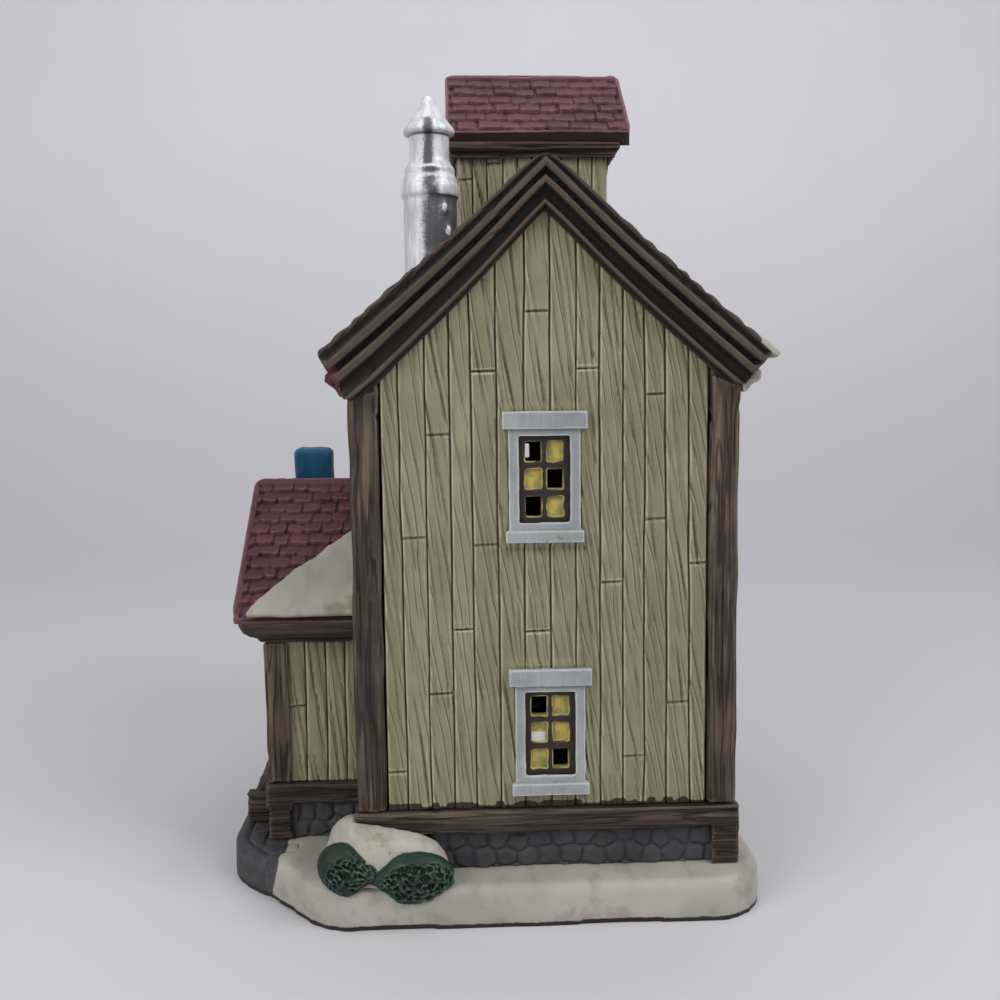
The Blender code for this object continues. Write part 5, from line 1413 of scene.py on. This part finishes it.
@dataclass
class Timber:
    """Brown beams, posts and boards, cast from their solids with a drawn grain."""

    voxel: float = 0.42
    peak: float = 156.9
    peak_depth: float = 12.4
    rake_depths: tuple[float, float] = (16.2, 14.0)
    rake_toes: tuple[float, float] = (108.7, 110.9)
    members: Sequence[tuple[str, Run]] = (
        ("near_left_post", Run.Z), ("near_right_post", Run.Z), ("far_left_post", Run.Z),
        ("far_right_post", Run.Z), ("near_sill_beam", Run.X), ("far_sill_beam", Run.X),
        ("front_sill_beam", Run.Y), ("back_sill_beam", Run.Y), ("wing_sill_beam", Run.X),
        ("wing_near_post", Run.Z), ("wing_far_post", Run.Z), ("wing_near_fascia", Run.X),
        ("wing_far_fascia", Run.X), ("front_eave_board", Run.Y), ("back_eave_board", Run.Y),
        ("wing_rake", Run.WING_RAKE), ("step_cheek", Run.X), ("cupola_moulding", Run.X),
    )

    def build(self) -> None:
        """Builds every timber but the main rakes."""
        for i, (node, run) in enumerate(self.members):
            voxel = 0.35 if node.startswith("near") else self.voxel
            rounds = 3 if run is Run.X else 7
            clay = Clay.copy_of(node + "_timber", node).cast(voxel, rounds)
            if node.endswith("fascia"):
                self.tuck(clay, node)
            self.grain(clay, run, i + 70)
            if node.endswith("eave_board"):
                ends = np.abs(clay.points()[:, 1] - MIDDLE)
                clay.attribute("over", smooth(ends, 48.8, 49.8))
            if node.startswith("cupola"):
                clay.attribute("tint", clay.points()[:, 0] * 0 + 1.2)
            look = "snowy" if node == "back_eave_board" else run.name.lower()
            clay.done(f"brown_timber_{look}", [node], "dark_brown_timber", span=0.8)
        for node in ("near_rake", "far_rake"):
            self.rake(node)

    @staticmethod
    def tuck(clay: Clay, node: str) -> None:
        """Draws the foot of an eave moulding in at its free end."""
        low, high = node_box(node)
        p = clay.points()
        fall = np.clip((high[2] - p[:, 2]) / (high[2] - low[2]), 0, 1)
        p[:, 0] += 4.4 * fall ** 1.6 * (1 - smooth(p[:, 0] - low[0], 0.0, 14.0))
        clay.place(p)

    def grain(self, clay: Clay, run: Run, seed: int, share: float = 1.0) -> None:
        """Draws the grain and softens the faces along a run, by a share of its full depth."""
        points = clay.points()
        rake = run in (Run.MAIN_RAKE, Run.WING_RAKE)

        def places(p: Array) -> Array:
            """Points with the run squeezed."""
            if rake:
                side = np.abs(p[:, 0]) if run is Run.MAIN_RAKE else np.abs(p[:, 1] - MIDDLE)
                across = p[:, 1] if run is Run.MAIN_RAKE else p[:, 0]
                c, s = lean(ROOF_SLOPE if run is Run.MAIN_RAKE else WING_SLOPE)
                return np.stack([across, side * s + p[:, 2] * c,
                                 (side * c - p[:, 2] * s) * 0.1], 1)
            squeeze = {Run.X: (0.1, 1, 1), Run.Y: (1, 0.1, 1), Run.Z: (1, 1, 0.1)}[run]
            return p * np.array(squeeze)

        def push(p: Array, n: Array) -> Array:
            """Fine grain, broad dents and a few long cracks."""
            q = places(p)
            crack = 1 - smooth(np.abs(clouds(q, 1.9, seed + 5)), 0.0, 0.16)
            open_here = smooth(clouds(p, 9.0, seed + 6), -0.1, 0.35)
            return share * (clouds(q, 1.1, seed) * 0.17 + clouds(q, 2.6, seed + 1) * 0.18
                            + clouds(p, 8.0, seed + 2) * 0.2 - crack * open_here * 0.38)

        clay.sculpt(push)
        clay.attribute("tint", clouds(points, 12.0, seed + 3) * 0.3 + 0.35)

    def rake(self, node: str) -> None:
        """Stepped gable moulding over both slopes, with a rounded peak and blunt ends."""
        near = node == "near_rake"
        profile = [(0.3, 0.0), (4.0, 0.0), (4.7, 0.02), (4.9, 0.05), (4.6, 0.09), (4.1, 0.13),
                   (3.9, 0.17), (4.3, 0.20), (4.75, 0.235), (4.8, 0.28), (4.7, 0.33),
                   (3.9, 0.365), (2.9, 0.385), (2.8, 0.42), (3.6, 0.45), (4.1, 0.475),
                   (4.2, 0.53), (4.05, 0.585), (3.2, 0.62), (2.2, 0.65), (2.0, 0.70),
                   (2.1, 0.76), (2.3, 0.80), (2.8, 0.835), (3.1, 0.865), (3.0, 0.90),
                   (2.3, 0.93), (1.4, 0.95), (1.1, 1.0), (0.3, 1.0)]
        stations = sorted({round(x, 2) for x in [*np.arange(-45.4, 45.5, 1.9), -40.8, 40.8,
                                                 -34.0, 34.0, 0.0, -1.0, 1.0, 45.4]})
        rings = []
        for x in stations:
            top, depth, toe = (float(value) for value in self.rake_band(x))
            floor = toe + (117.1 - toe) * max(abs(x) - 40.8, 0) / 4.6
            ring = []
            for out, share in profile:
                blunt = 2.3 * (1 - min(share / 0.16, 1.0))
                height = top + ROOF_SLOPE * (abs(x) - math.hypot(x, blunt)) - share * depth
                ring.append((x, -out if near else HOUSE_DEPTH + out, max(height, floor)))
            rings.append(np.array(ring))
        clay = Clay.loft(node + "_moulding", rings).cast(0.29 if near else 0.38, 2)

        def share_of(p: Array) -> Array:
            """How far down the moulding each point lies, 0 at its top and 1 at its foot."""
            top, depth, _ = self.rake_band(p[:, 0])
            return (top - p[:, 2]) / depth

        def lumps(p: Array, n: Array) -> Array:
            """Ends of the shingles, laid like a rope along the lower upper edge."""
            along = np.abs(p[:, 0]) / lean(ROOF_SLOPE)[0]
            outer = 1 - smooth(share_of(p), 0.06, 0.12)
            here = outer * smooth(np.abs(p[:, 0]), 9, 20)
            wave = np.sin(along * 2 * math.pi / 4.6 + clouds(p, 5.0, 3) * 2.4 + p[:, 1] * 0.9)
            return here * (0.19 * wave + clouds(p, 2.4, 4) * 0.12 - 0.05)

        clay.sculpt(lumps)
        self.grain(clay, Run.MAIN_RAKE, 90 if near else 94, 0.45)
        p = clay.points()
        share = share_of(p)
        # The raised fillets are painted lighter and the coves between them darker: dry-brushed paint
        # together with painted highlight on the crests and painted shade in the coves.
        raised = np.zeros(len(p))
        for start, stop in ((0.205, 0.35), (0.455, 0.60), (0.835, 0.915)):
            raised = np.maximum(raised, smooth(share, start - 0.02, start + 0.02)
                                * (1 - smooth(share, stop - 0.02, stop + 0.02)))
        raised *= 0.85 + 0.35 * clouds(p, 3.0, 8)
        clay.attribute("tint", 1 - np.clip(raised, 0, 1))
        outside = smooth(clay.normals()[:, 2], 0.45, 0.8) * (1 - smooth(share, 0.03, 0.1))
        patch = smooth(clouds(p, 7.0, 12), -0.25, 0.2) * smooth(np.abs(p[:, 0]), 5, 10)
        end_patch = smooth(-p[:, 0], 40.6, 42.4) * smooth(115.0 - p[:, 2], -2.0, 1.0)
        bulge = outside * smooth(p[:, 0], 39.0, 41.0)
        clay.attribute("over", np.maximum.reduce([outside * patch, end_patch, bulge]) * 0.9)
        clay.done("brown_timber_main_rake", [node], "dark_brown_timber", span=0.9)

    def rake_band(self, x: Array) -> tuple[Array, Array, Array]:
        """Height of the moulding's top, its depth and the height of its toe, along X."""
        run, left = np.abs(x), np.asarray(x) < 0
        toe = np.where(left, *self.rake_toes)
        depth = self.peak_depth + (np.where(left, *self.rake_depths)
                                   - self.peak_depth) * np.minimum(run / 34, 1)
        top = self.peak + 1.5 * np.exp(-(run / 11.0) ** 2) - ROOF_SLOPE * run
        return top, depth, toe


@dataclass
class Roofs:
    """Shingled slopes of the house, the wing and the cupola, and the snow on them."""

    thick: float = 4.4
    cupola_thick: float = 4.9

    def build(self) -> None:
        """Builds all slopes."""
        c, s = lean(ROOF_SLOPE)
        for name, node, side in (("front_shingles", "front_roof_slope", -1),
                                 ("back_shingles", "back_roof_slope", 1)):
            eave = (side * ROOF_REACH, 0.0, RIDGE - ROOF_REACH * ROOF_SLOPE)
            wall = Wall(eave, (0, 1, 0), (-side * c, 0, s), (side * s, 0, c))
            grid = Courses(HOUSE_DEPTH, ROOF_REACH / c, 4.3, 4.9, 200 + side, step=0.42).relief()
            clay = grid.clay(name, wall, self.thick * c)
            clay.trim((side * 0.15, 0, 0), (-side, 0, 0))
            clay.trim((side * ROOF_REACH, 0, 0), (side, 0, 0))
            clay.done("wine_shingles", [node], "burgundy_shingles")
        c = lean(WING_SLOPE)[0]
        for name, node, side in (("wing_near_shingles", "wing_near_roof", -1),
                                 ("wing_far_shingles", "wing_far_roof", 1)):
            low, high = node_box(node)
            wall = Wall.falling(side, low[0], WING_ROOF_REACH, WING_RIDGE, WING_SLOPE)
            grid = Courses(high[0] - low[0], WING_ROOF_REACH / c, 3.6, 4.35, 210 + side,
                           step=0.34, ridge_band=2.4, edge_band=1.4).relief()
            clay = grid.clay(name, wall, WING_ROOF_THICK * c)
            clay.trim((0, MIDDLE + side * 0.15, 0), (0, -side, 0))
            self.rounded(clay, (low[0],), WING_SLOPE, WING_ROOF_REACH, 3.2)
            clay.done("wine_shingles", [node], "burgundy_shingles", span=0.9)
        self.cupola()
        for name, node in (("wing_drift_snow", "wing_snow_drift"),
                           ("eave_snow", "roof_snow")):
            clay = Clay.copy_of(name, node).cast(0.4, 4).lumpy(4.0, 0.25, 17)
            if name.startswith("wing"):
                p = clay.points()
                smear = smooth(p[:, 0], -53.0, -42.0) * smooth(65.0 - p[:, 2], -3.5, 2.5)
                clay.attribute("over", smear * (0.8 + clouds(p, 2.5, 9) * 0.4))
            else:
                clay.place(clay.points() - np.array((0.0, 0.0, 1.3)))
            PLINTH.snow(clay, [node])

    def cupola(self) -> None:
        """Both slopes of the cupola roof as one piece."""
        low, high = node_box("cupola_roof")
        c = lean(ROOF_SLOPE)[0]
        halves = []
        for side in (-1, 1):
            wall = Wall.falling(side, low[0], CUPOLA_REACH, high[2], ROOF_SLOPE)
            grid = Courses(high[0] - low[0], CUPOLA_REACH / c, 4.1, 4.9, 220 + side, step=0.32,
                           ridge_band=1.5, edge_band=0.9, eave_band=1.3).relief()
            half = grid.clay("cupola_shingles", wall, self.cupola_thick * c)
            halves.append(half.trim((0, MIDDLE + side * 0.02, 0), (0, -side, 0)))
        halves[0].join(halves[1:])
        p = halves[0].points()
        off = np.abs(p[:, 1] - MIDDLE)
        under = high[2] - off * ROOF_SLOPE - p[:, 2]
        rim = smooth(off, 20.05, 20.3)
        under = smooth(under + clouds(p, 3.0, 5) * 0.2, 1.0, 1.7)
        halves[0].attribute("over", np.maximum(rim, under))
        self.rounded(halves[0], (low[0], high[0]), ROOF_SLOPE, CUPOLA_REACH, 2.4)
        halves[0].done("wine_shingles", ["cupola_roof"], "burgundy_shingles", span=0.9)

    @staticmethod
    def rounded(clay: Clay, ends: Sequence[float], slope: float, reach: float,
                radius: float) -> None:
        """Rounds the corners of a pair of slopes at the given ends, seen square to the slope."""
        p = clay.points()
        stretch = math.hypot(1.0, slope)
        side = np.where(p[:, 1] < MIDDLE, -1.0, 1.0)
        middle = (ends[0] + ends[-1]) / 2 if len(ends) > 1 else 0.0
        for end in ends:
            inward = 1.0 if end < middle else -1.0
            for edge in (0.0, reach):
                du = radius - (p[:, 0] - end) * inward
                dv = radius - np.abs(np.abs(p[:, 1] - MIDDLE) - edge) * stretch
                far = np.hypot(np.maximum(du, 0), np.maximum(dv, 0))
                pull = np.where((du > 0) & (dv > 0) & (far > radius),
                                radius / np.maximum(far, 1e-6), 1)
                moved = (dv - dv * pull) / stretch * (1 if edge == 0 else -1)
                bent = np.stack([end + inward * (radius - du * pull), p[:, 1] + side * moved,
                                 p[:, 2] - moved * slope], 1)
                p = np.where((pull < 1)[:, None], bent, p)
        clay.place(p)


@dataclass
class Cupola:
    """Planked box of the cupola over the ridge."""

    thick: float = 3.0
    half: float = 17.0

    def build(self) -> None:
        """Builds the four sides."""
        low, high = node_box("cupola_walls")
        floor = RIDGE + 0.3 - 80 * ROOF_SLOPE
        clays = []
        for i, (axis, side) in enumerate(SIDES):
            inset = self.thick * (1 - axis)
            top = high[2] if axis == 0 else high[2] - self.half * ROOF_SLOPE
            bottom = low[2] if axis == 1 else low[2] - 0.5
            grid = Boards.regular(low[1 - axis] + inset, high[1 - axis] - inset, bottom, top,
                                  50 + i, 3.6).relief()
            face = (high if side > 0 else low)[axis]
            clay = grid.clay("cupola_boards", Wall.upright(axis, side, face), self.thick)
            if axis == 0:
                clay.gabled(1, high[2], ROOF_SLOPE)
            prism = Clay.loft("hole", [np.array([(-80, y, floor), (0, y, RIDGE + 0.3),
                                                 (80, y, floor)]) for y in (0.0, 100.0)])
            clays.append(clay.cut(prism))
        clays[0].join(clays[1:])
        clays[0].done("olive_boards", ["cupola_walls"], "olive_planks")


@dataclass
class Wing:
    """Planked walls of the wing."""

    thick: float = 3.4

    def build(self) -> None:
        """Builds the two sides and the gable."""
        low, high = node_box("wing_walls")
        eave = WING_RIDGE - WING_REACH * WING_SLOPE - WING_ROOF_THICK
        parts = []
        for i, side in enumerate((-1, 1)):
            wall = Wall.upright(1, side, MIDDLE + side * WING_REACH)
            grid = Boards.regular(low[0] + self.thick, high[0], low[2], eave, 80 + i, 4.3).relief()
            parts.append(grid.clay("wing_boards", wall, self.thick))
        grid = Boards.regular(low[1], high[1], low[2], high[2], 84, 4.8).relief()
        gable = grid.clay("wing_boards", Wall.upright(0, -1, low[0]), self.thick)
        gable.opening((-90, 57.75, 31.6), (-40, 69.25, 50.5), 11.5 * 18.9 * self.thick)
        gable.opening((-90, 36.2, 20), (-40, 48.2, 49.5), 12.0 * 27.1 * self.thick)
        gable.gabled(1, high[2], WING_SLOPE)
        gable.join(parts)
        gable.done("olive_boards", ["wing_walls"], "olive_planks")


@dataclass
class Windows:
    """Windows with a lintel, jambs and sill, and a sash of six panes each."""

    pane_half: tuple[float, float] = (1.65, 2.05)
    pitch: tuple[float, float] = (4.5, 5.7)
    sash_foot: float = 4.1
    sash_tall: float = 17.9

    def build(self) -> None:
        """Builds all windows."""
        places = [("near_upper", 0, -0.3, 79.0), ("near_lower", 0, 0.6, 25.4),
                  ("far_upper", 0, -0.3, 79.0), ("far_lower", 0, 0.6, 25.4),
                  ("wing", 1, 63.5, 28.0)]
        for i, (name, axis, middle, start) in enumerate(places):
            self.frame(name, i)
            self.sash(name, axis, middle, start + self.sash_foot + self.sash_tall / 2)

    def frame(self, name: str, seed: int) -> None:
        """Lintel, jambs and sill, softened and scuffed."""
        clay = Clay.copy_of(f"{name}_window_trim", f"{name}_window_frame").cast(0.24, 2)
        clay.lumpy(2.6, 0.10, 300 + seed).lumpy(0.8, 0.04, 310 + seed)
        p = clay.points()
        low, high = node_box(f"{name}_window_frame")
        clay.attribute("tint", clouds(p, 4.0, seed) * 0.3 + 0.2)
        axis = 0 if name == "wing" else 1
        wall_at = {"wing": high[0]}.get(name, high[1] if name.startswith("near") else low[1])
        lift = np.abs(p[:, axis] - wall_at) / (high[axis] - low[axis])
        smear = smooth(clouds(p, 0.8, 330 + seed), 0.45, 0.7) * 0.7
        smear = smear * smooth(clouds(p, 4.0, 340 + seed), -0.1, 0.3)
        clay.attribute("over", np.maximum(smooth(0.26 - lift, 0.0, 0.12), smear))
        clay.done("blue_grey_trim", [f"{name}_window_frame"], "pale_blue_trim")

    def sash(self, name: str, axis: int, middle: float, height: float) -> None:
        """Brown sash whose panes are painted yellow."""
        clay = Clay.copy_of(f"{name}_window_panes", f"{name}_window_sash").cast(0.19, 1)
        clay.lumpy(1.2, 0.05, 320)
        p = clay.points()
        a, z = p[:, axis] - middle, p[:, 2] - height
        edge = np.full(len(p), 9.0)
        for column in (-0.5, 0.5):
            for row in (-1, 0, 1):
                du = np.abs(a - column * self.pitch[0]) - self.pane_half[0] + 0.3
                dv = np.abs(z - row * self.pitch[1]) - self.pane_half[1] + 0.3
                gap = np.hypot(np.maximum(du, 0), np.maximum(dv, 0)) - 0.3
                edge = np.minimum(edge, gap + np.minimum(np.maximum(du, dv), 0))
        edge += clouds(p, 1.6, 5) * 0.2
        clay.attribute("pane", smooth(0.2 - edge, 0.0, 0.22))
        clay.attribute("rim", np.exp(-((edge - 0.02) / 0.16) ** 2))
        chip = np.zeros(len(p))
        if name == "near_lower":
            chip = (np.abs(a + 2.4) < 1.5) & (z < -0.1) & (z > -1.9)
        clay.attribute("chip", chip)
        clay.done("brown_sash", [f"{name}_window_sash"], "brown_sash")


@dataclass
class Pipes:
    """Silver stovepipe with its pointed cap, and the blue chimney on the wing."""

    axis: tuple[float, float] = (-23.1, 16.0)
    tube_top: float = 150.6
    sides: int = 56
    drips: Sequence[tuple[tuple[float, float], float]] = (((-19.9, 148.6), 1.1),
                                                          ((-19.2, 143.8), 1.3))

    def build(self) -> None:
        """Builds pipe, cap and chimney."""
        profile = [(5.7, 0.0), (5.72, 0.12), (5.7, 0.25), (5.68, 0.4), (5.7, 0.55), (5.7, 0.7),
                   (5.7, 0.85), (5.7, 1.0)]
        upper = [(5.72, 151.0), (6.1, 151.15), (6.3, 151.6), (6.32, 152.6), (6.28, 153.4),
                 (6.05, 153.8), (5.85, 154.1), (5.8, 154.8), (5.7, 155.3), (5.2, 155.9),
                 (5.35, 156.3), (5.42, 156.9), (5.2, 157.4), (4.8, 157.9), (4.35, 158.5),
                 (4.25, 159.2), (4.25, 160.6), (4.25, 162.4), (4.3, 163.4), (4.3, 163.9)]
        turn = np.linspace(0, 2 * math.pi, self.sides, endpoint=False)
        rings = []
        for radius, at in profile + upper:
            x = self.axis[0] + np.cos(turn) * radius
            y = self.axis[1] + np.sin(turn) * radius
            foot = RIDGE - np.abs(x) * ROOF_SLOPE + 0.1
            rings.append(np.stack([x, y, np.where(at > 1, at, foot + (self.tube_top - foot) * at)], 1))
        pipe = Clay.loft("stovepipe_tube", rings).cast(0.36, 2)

        def push(p: Array, n: Array) -> Array:
            """Drops that ran down the paint."""
            out = clouds(p, 3.0, 41) * 0.10
            for (x, z), tall in self.drips:
                near = ((p[:, 0] - x) / 0.55) ** 2 + ((p[:, 2] - z) / tall) ** 2
                out += 0.55 * np.exp(-near) * (p[:, 1] < self.axis[1])
            return out

        pipe.sculpt(push)
        self.silver(pipe, "stovepipe")
        cap = turned("stovepipe_hat", [(4.2, 164.1), (5.2, 164.15), (5.5, 164.5), (5.5, 165.2),
                                       (5.1, 165.75), (4.4, 166.6), (3.5, 168.0), (2.4, 169.8),
                                       (1.6, 171.1), (1.1, 171.9), (0.6, 172.3), (0.0, 172.4)],
                     (*self.axis, 0.0), 48, "Z").cast(0.3, 2).lumpy(2.5, 0.10, 43)
        self.silver(cap, "stovepipe_cap")

        block = Clay.copy_of("chimney_block", "blue_chimney").cast(0.42, 3)
        block.lumpy(3.0, 0.16, 47).lumpy(1.2, 0.05, 48)
        p = block.points()
        # The top face, above 94.6 mm, gets less of the deep tone than the sides: a painted highlight
        # on the face that looks up.
        block.attribute("tint", np.where(p[:, 2] > 94.6, 0.0, 0.5) + clouds(p, 5.0, 3) * 0.2)
        block.done("chimney_blue", ["blue_chimney"], "blue_paint")

    def silver(self, clay: Clay, node: str) -> None:
        """Paints a dark band down one side, a painted reflection with painted shadow under the collar,
        and the wine overspray at the foot.
        """
        p = clay.points()
        x, z = p[:, 0] - self.axis[0], p[:, 2]
        # neck, collar and tube: a painted reflection of a dark thing in front, as a dark band.
        neck = np.exp(-((x + 0.2) / 1.3) ** 2) * smooth(z, 157.0, 157.8) * smooth(168.4 - z, 0, 2)
        collar = (np.exp(-((x - 0.2) / 2.1) ** 2) * smooth(z, 150.6, 151.2)
                  * (1 - smooth(z, 156.6, 157.4)) * (0.95 - 0.5 * np.exp(-((z - 155.3) / 0.5) ** 2)))
        tube = smooth(x, -3.6, 0.4) * (z <= 150.8)
        # ring: a painted shadow under the collar.
        ring = np.exp(-((z - 151.0) / 0.3) ** 2) * smooth(x, -1.5, 1.0)
        seam = np.exp(-((z - 155.9) / 0.25) ** 2) * 0.5
        shade = np.maximum.reduce([neck, collar, tube, ring * 1.3, seam])
        for (drip_x, drip_z), tall in self.drips:
            far = np.hypot((p[:, 0] - drip_x) / 0.6, (z - drip_z) / tall)
            shade = shade * smooth(far, 0.55, 0.95)
        # The painted reflection and shade stay on the side towards -Y.
        shade = shade * smooth(self.axis[1] + 1.5 - p[:, 1], 0.0, 2.0)
        clay.attribute("shade", shade * (0.85 + clouds(p, 2.4, 6) * 0.3))
        roof = RIDGE - np.abs(p[:, 0]) * ROOF_SLOPE
        clay.attribute("over", smooth(3.4 - (z - roof) + clouds(p, 2.0, 7), 0.0, 2.6) * 0.9)
        clay.done("silver_paint", [node], "silver_paint")


@dataclass
class Doorway:
    """Door, its frame and the stone steps in the wing's gable."""

    def build(self) -> None:
        """Builds the three pieces."""
        trim = Clay.copy_of("door_trim", "door_frame").cast(0.3, 2).lumpy(2.6, 0.08, 61)
        trim.attribute("tint", clouds(trim.points(), 4.0, 3) * 0.3 + 0.2)
        trim.done("blue_grey_trim", ["door_frame"], "pale_blue_trim")
        leaf = Clay.copy_of("door_boards", "door_leaf").cast(0.26, 1)
        Timber().grain(leaf, Run.Z, 63)
        leaf.done("brown_timber_z", ["door_leaf"], "dark_brown_timber")
        steps = Clay.copy_of("step_stones", "stone_steps").cast(0.4, 3).lumpy(2.5, 0.2, 65)
        steps.attribute("tint", clouds(steps.points(), 3.0, 9) * 0.4 + 0.3)
        steps.done("slate_stones", ["stone_steps"], "slate_grey_stone")


@dataclass
class Lamp:
    """Clip-in lamp holder at the back and the bulb in it."""

    def build(self) -> None:
        """Builds holder, clip, glass and cap."""
        for name, node, finish, body, slot in (
                ("lamp_holder", "lamp_socket", "white_plastic", "lamp", "white_plastic"),
                ("lamp_spring_clip", "lamp_clip", "spring_steel", "lamp", "spring_steel"),
                ("bulb_envelope", "bulb_glass", "clear_bulb_glass", "bulb", "clear_bulb_glass"),
                ("bulb_cap", "bulb_base", "brass_cap", "bulb", "brass_cap")):
            clay = Clay.copy_of(name, node)
            if node == "bulb_base":
                clay.cast(0.22, 1).sculpt(self.thread)
            elif node == "lamp_socket":
                clay.cast(0.48, 1).sculpt(self.ribs)
            else:
                clay.bevel(0.2)
            clay.done(finish, [node], slot, body)

    @staticmethod
    def thread(p: Array, n: Array) -> Array:
        """Screw thread of the bulb's cap."""
        turn = np.arctan2(p[:, 2] - LAMP_HEIGHT, p[:, 1] - MIDDLE) / (2 * math.pi)
        round_part = smooth(1 - np.abs(n[:, 0]), 0.2, 0.6)
        here = smooth(p[:, 0], 18.5, 19.5) * smooth(28.0 - p[:, 0], 0.0, 1.0)
        return (np.cos(2 * math.pi * (p[:, 0] / 2.4 + turn)) - 1) * 0.22 * round_part * here

    @staticmethod
    def ribs(p: Array, n: Array) -> Array:
        """Finger ribs round the flange of the holder."""
        turn = np.arctan2(p[:, 2] - LAMP_HEIGHT, p[:, 1] - MIDDLE)
        rim = smooth(np.hypot(p[:, 2] - LAMP_HEIGHT, p[:, 1] - MIDDLE), 15.4, 16.0)
        round_part = smooth(1 - np.abs(n[:, 0]), 0.3, 0.7)
        return (np.cos(turn * 40) - 1) * 0.16 * rim * round_part


@dataclass
class Studio:
    """Pale floor that curves up into a backdrop, soft lamps and the camera."""

    place: tuple[float, float, float] = (-0.0193, -0.2249, 0.1115)
    yaw: float = math.radians(2.5)
    down: float = math.radians(6.0)
    roll: float = math.radians(-0.6)
    lens: float = 39.6

    def build(self) -> None:
        """Builds the whole stage."""
        self.floor()
        self.light()
        self.camera()

    def floor(self) -> None:
        """One curved sheet, not part of the object."""
        clear()
        profile = [(-0.9, 0.0), (0.42, 0.0), (0.5, 0.006), (0.57, 0.026), (0.63, 0.06),
                   (0.675, 0.11), (0.7, 0.18), (0.71, 0.3), (0.71, 1.6)]
        bpy.ops.mesh.primitive_grid_add(x_subdivisions=1, y_subdivisions=len(profile) - 1, size=1)
        obj = bpy.context.object
        obj.name = "floor"
        for vertex in obj.data.vertices:
            y, z = profile[round((vertex.co.y + 0.5) * (len(profile) - 1))]
            vertex.co = Vector((vertex.co.x * 12.0, y if y > -0.9 else -6.0, z))
        bpy.ops.object.transform_apply(location=True, rotation=True, scale=True)
        bpy.ops.object.shade_smooth()
        r = Recipe("pale_floor")
        blot = r.clouds(r.place, 90.0, 2.0)
        height = r.split(r.place)[2]
        # Greyer on the floor and lighter up the curve of the backdrop: painted light and shade.
        colour = r.mix(height.ramp(0.0, 0.35), paint("c4c4c8"), paint("e0e0e5"))
        colour = r.mix(blot.ramp(0.3, 0.7) * 0.07, colour, paint("c2c2c6"))
        obj.data.materials.append(r.close(colour, 0.55, None, {}))
        obj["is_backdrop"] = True

    def light(self) -> None:
        """Large soft lamps and a pale surround."""
        world = bpy.data.worlds.new("surround")
        world.use_nodes = True
        surround = world.node_tree.nodes["Background"].inputs
        surround["Color"].default_value = (0.93, 0.93, 0.95, 1)
        surround["Strength"].default_value = 0.44
        bpy.context.scene.world = world
        for name, spot, size, power in (("key", (0.5, -0.35, 0.62), 0.4, 3.5),
                                        ("fill", (-0.5, -0.45, 0.45), 0.5, 2.8),
                                        ("top", (0.0, 0.1, 0.9), 0.6, 1.8)):
            data = bpy.data.lights.new(name, "AREA")
            data.size, data.energy = size, power
            lamp = bpy.data.objects.new(name, data)
            lamp.location = spot
            aim = Vector((0.0, 0.03, 0.08)) - Vector(spot)
            lamp.rotation_euler = aim.to_track_quat("-Z", "Y").to_euler()
            bpy.context.scene.collection.objects.link(lamp)

    def camera(self) -> None:
        """Camera at the photograph's angle."""
        data = bpy.data.cameras.new("camera")
        data.sensor_width, data.lens, data.clip_start = 36.0, self.lens, 0.001
        ahead = Vector((math.sin(self.yaw) * math.cos(self.down),
                        math.cos(self.yaw) * math.cos(self.down), -math.sin(self.down)))
        right = Vector((math.cos(self.yaw), -math.sin(self.yaw), 0))
        up = right.cross(ahead)
        turned_right = right * math.cos(self.roll) + up * math.sin(self.roll)
        turned_up = -right * math.sin(self.roll) + up * math.cos(self.roll)
        matrix = Matrix((turned_right, turned_up, -ahead)).transposed().to_4x4()
        matrix.translation = Vector(self.place)
        camera = bpy.data.objects.new("camera", data)
        camera.matrix_world = matrix
        bpy.context.scene.collection.objects.link(camera)
        bpy.context.scene.camera = camera


PAINTS = Paints()
PLINTH = Plinth()


def main() -> None:
    """Builds everything in order."""
    Studio().build()
    for part in (PLINTH, Footing(), Walls(), Timber(), Roofs(), Cupola(), Wing(), Windows(),
                 Pipes(), Doorway(), Lamp()):
        LOG.info("building %s", type(part).__name__)
        part.build()
    bpy.context.scene.view_settings.view_transform = "Standard"
    clear()


if __name__ == "__main__":
    logging.basicConfig(level=logging.INFO, format="%(name)s: %(message)s", stream=sys.stdout)
    main()
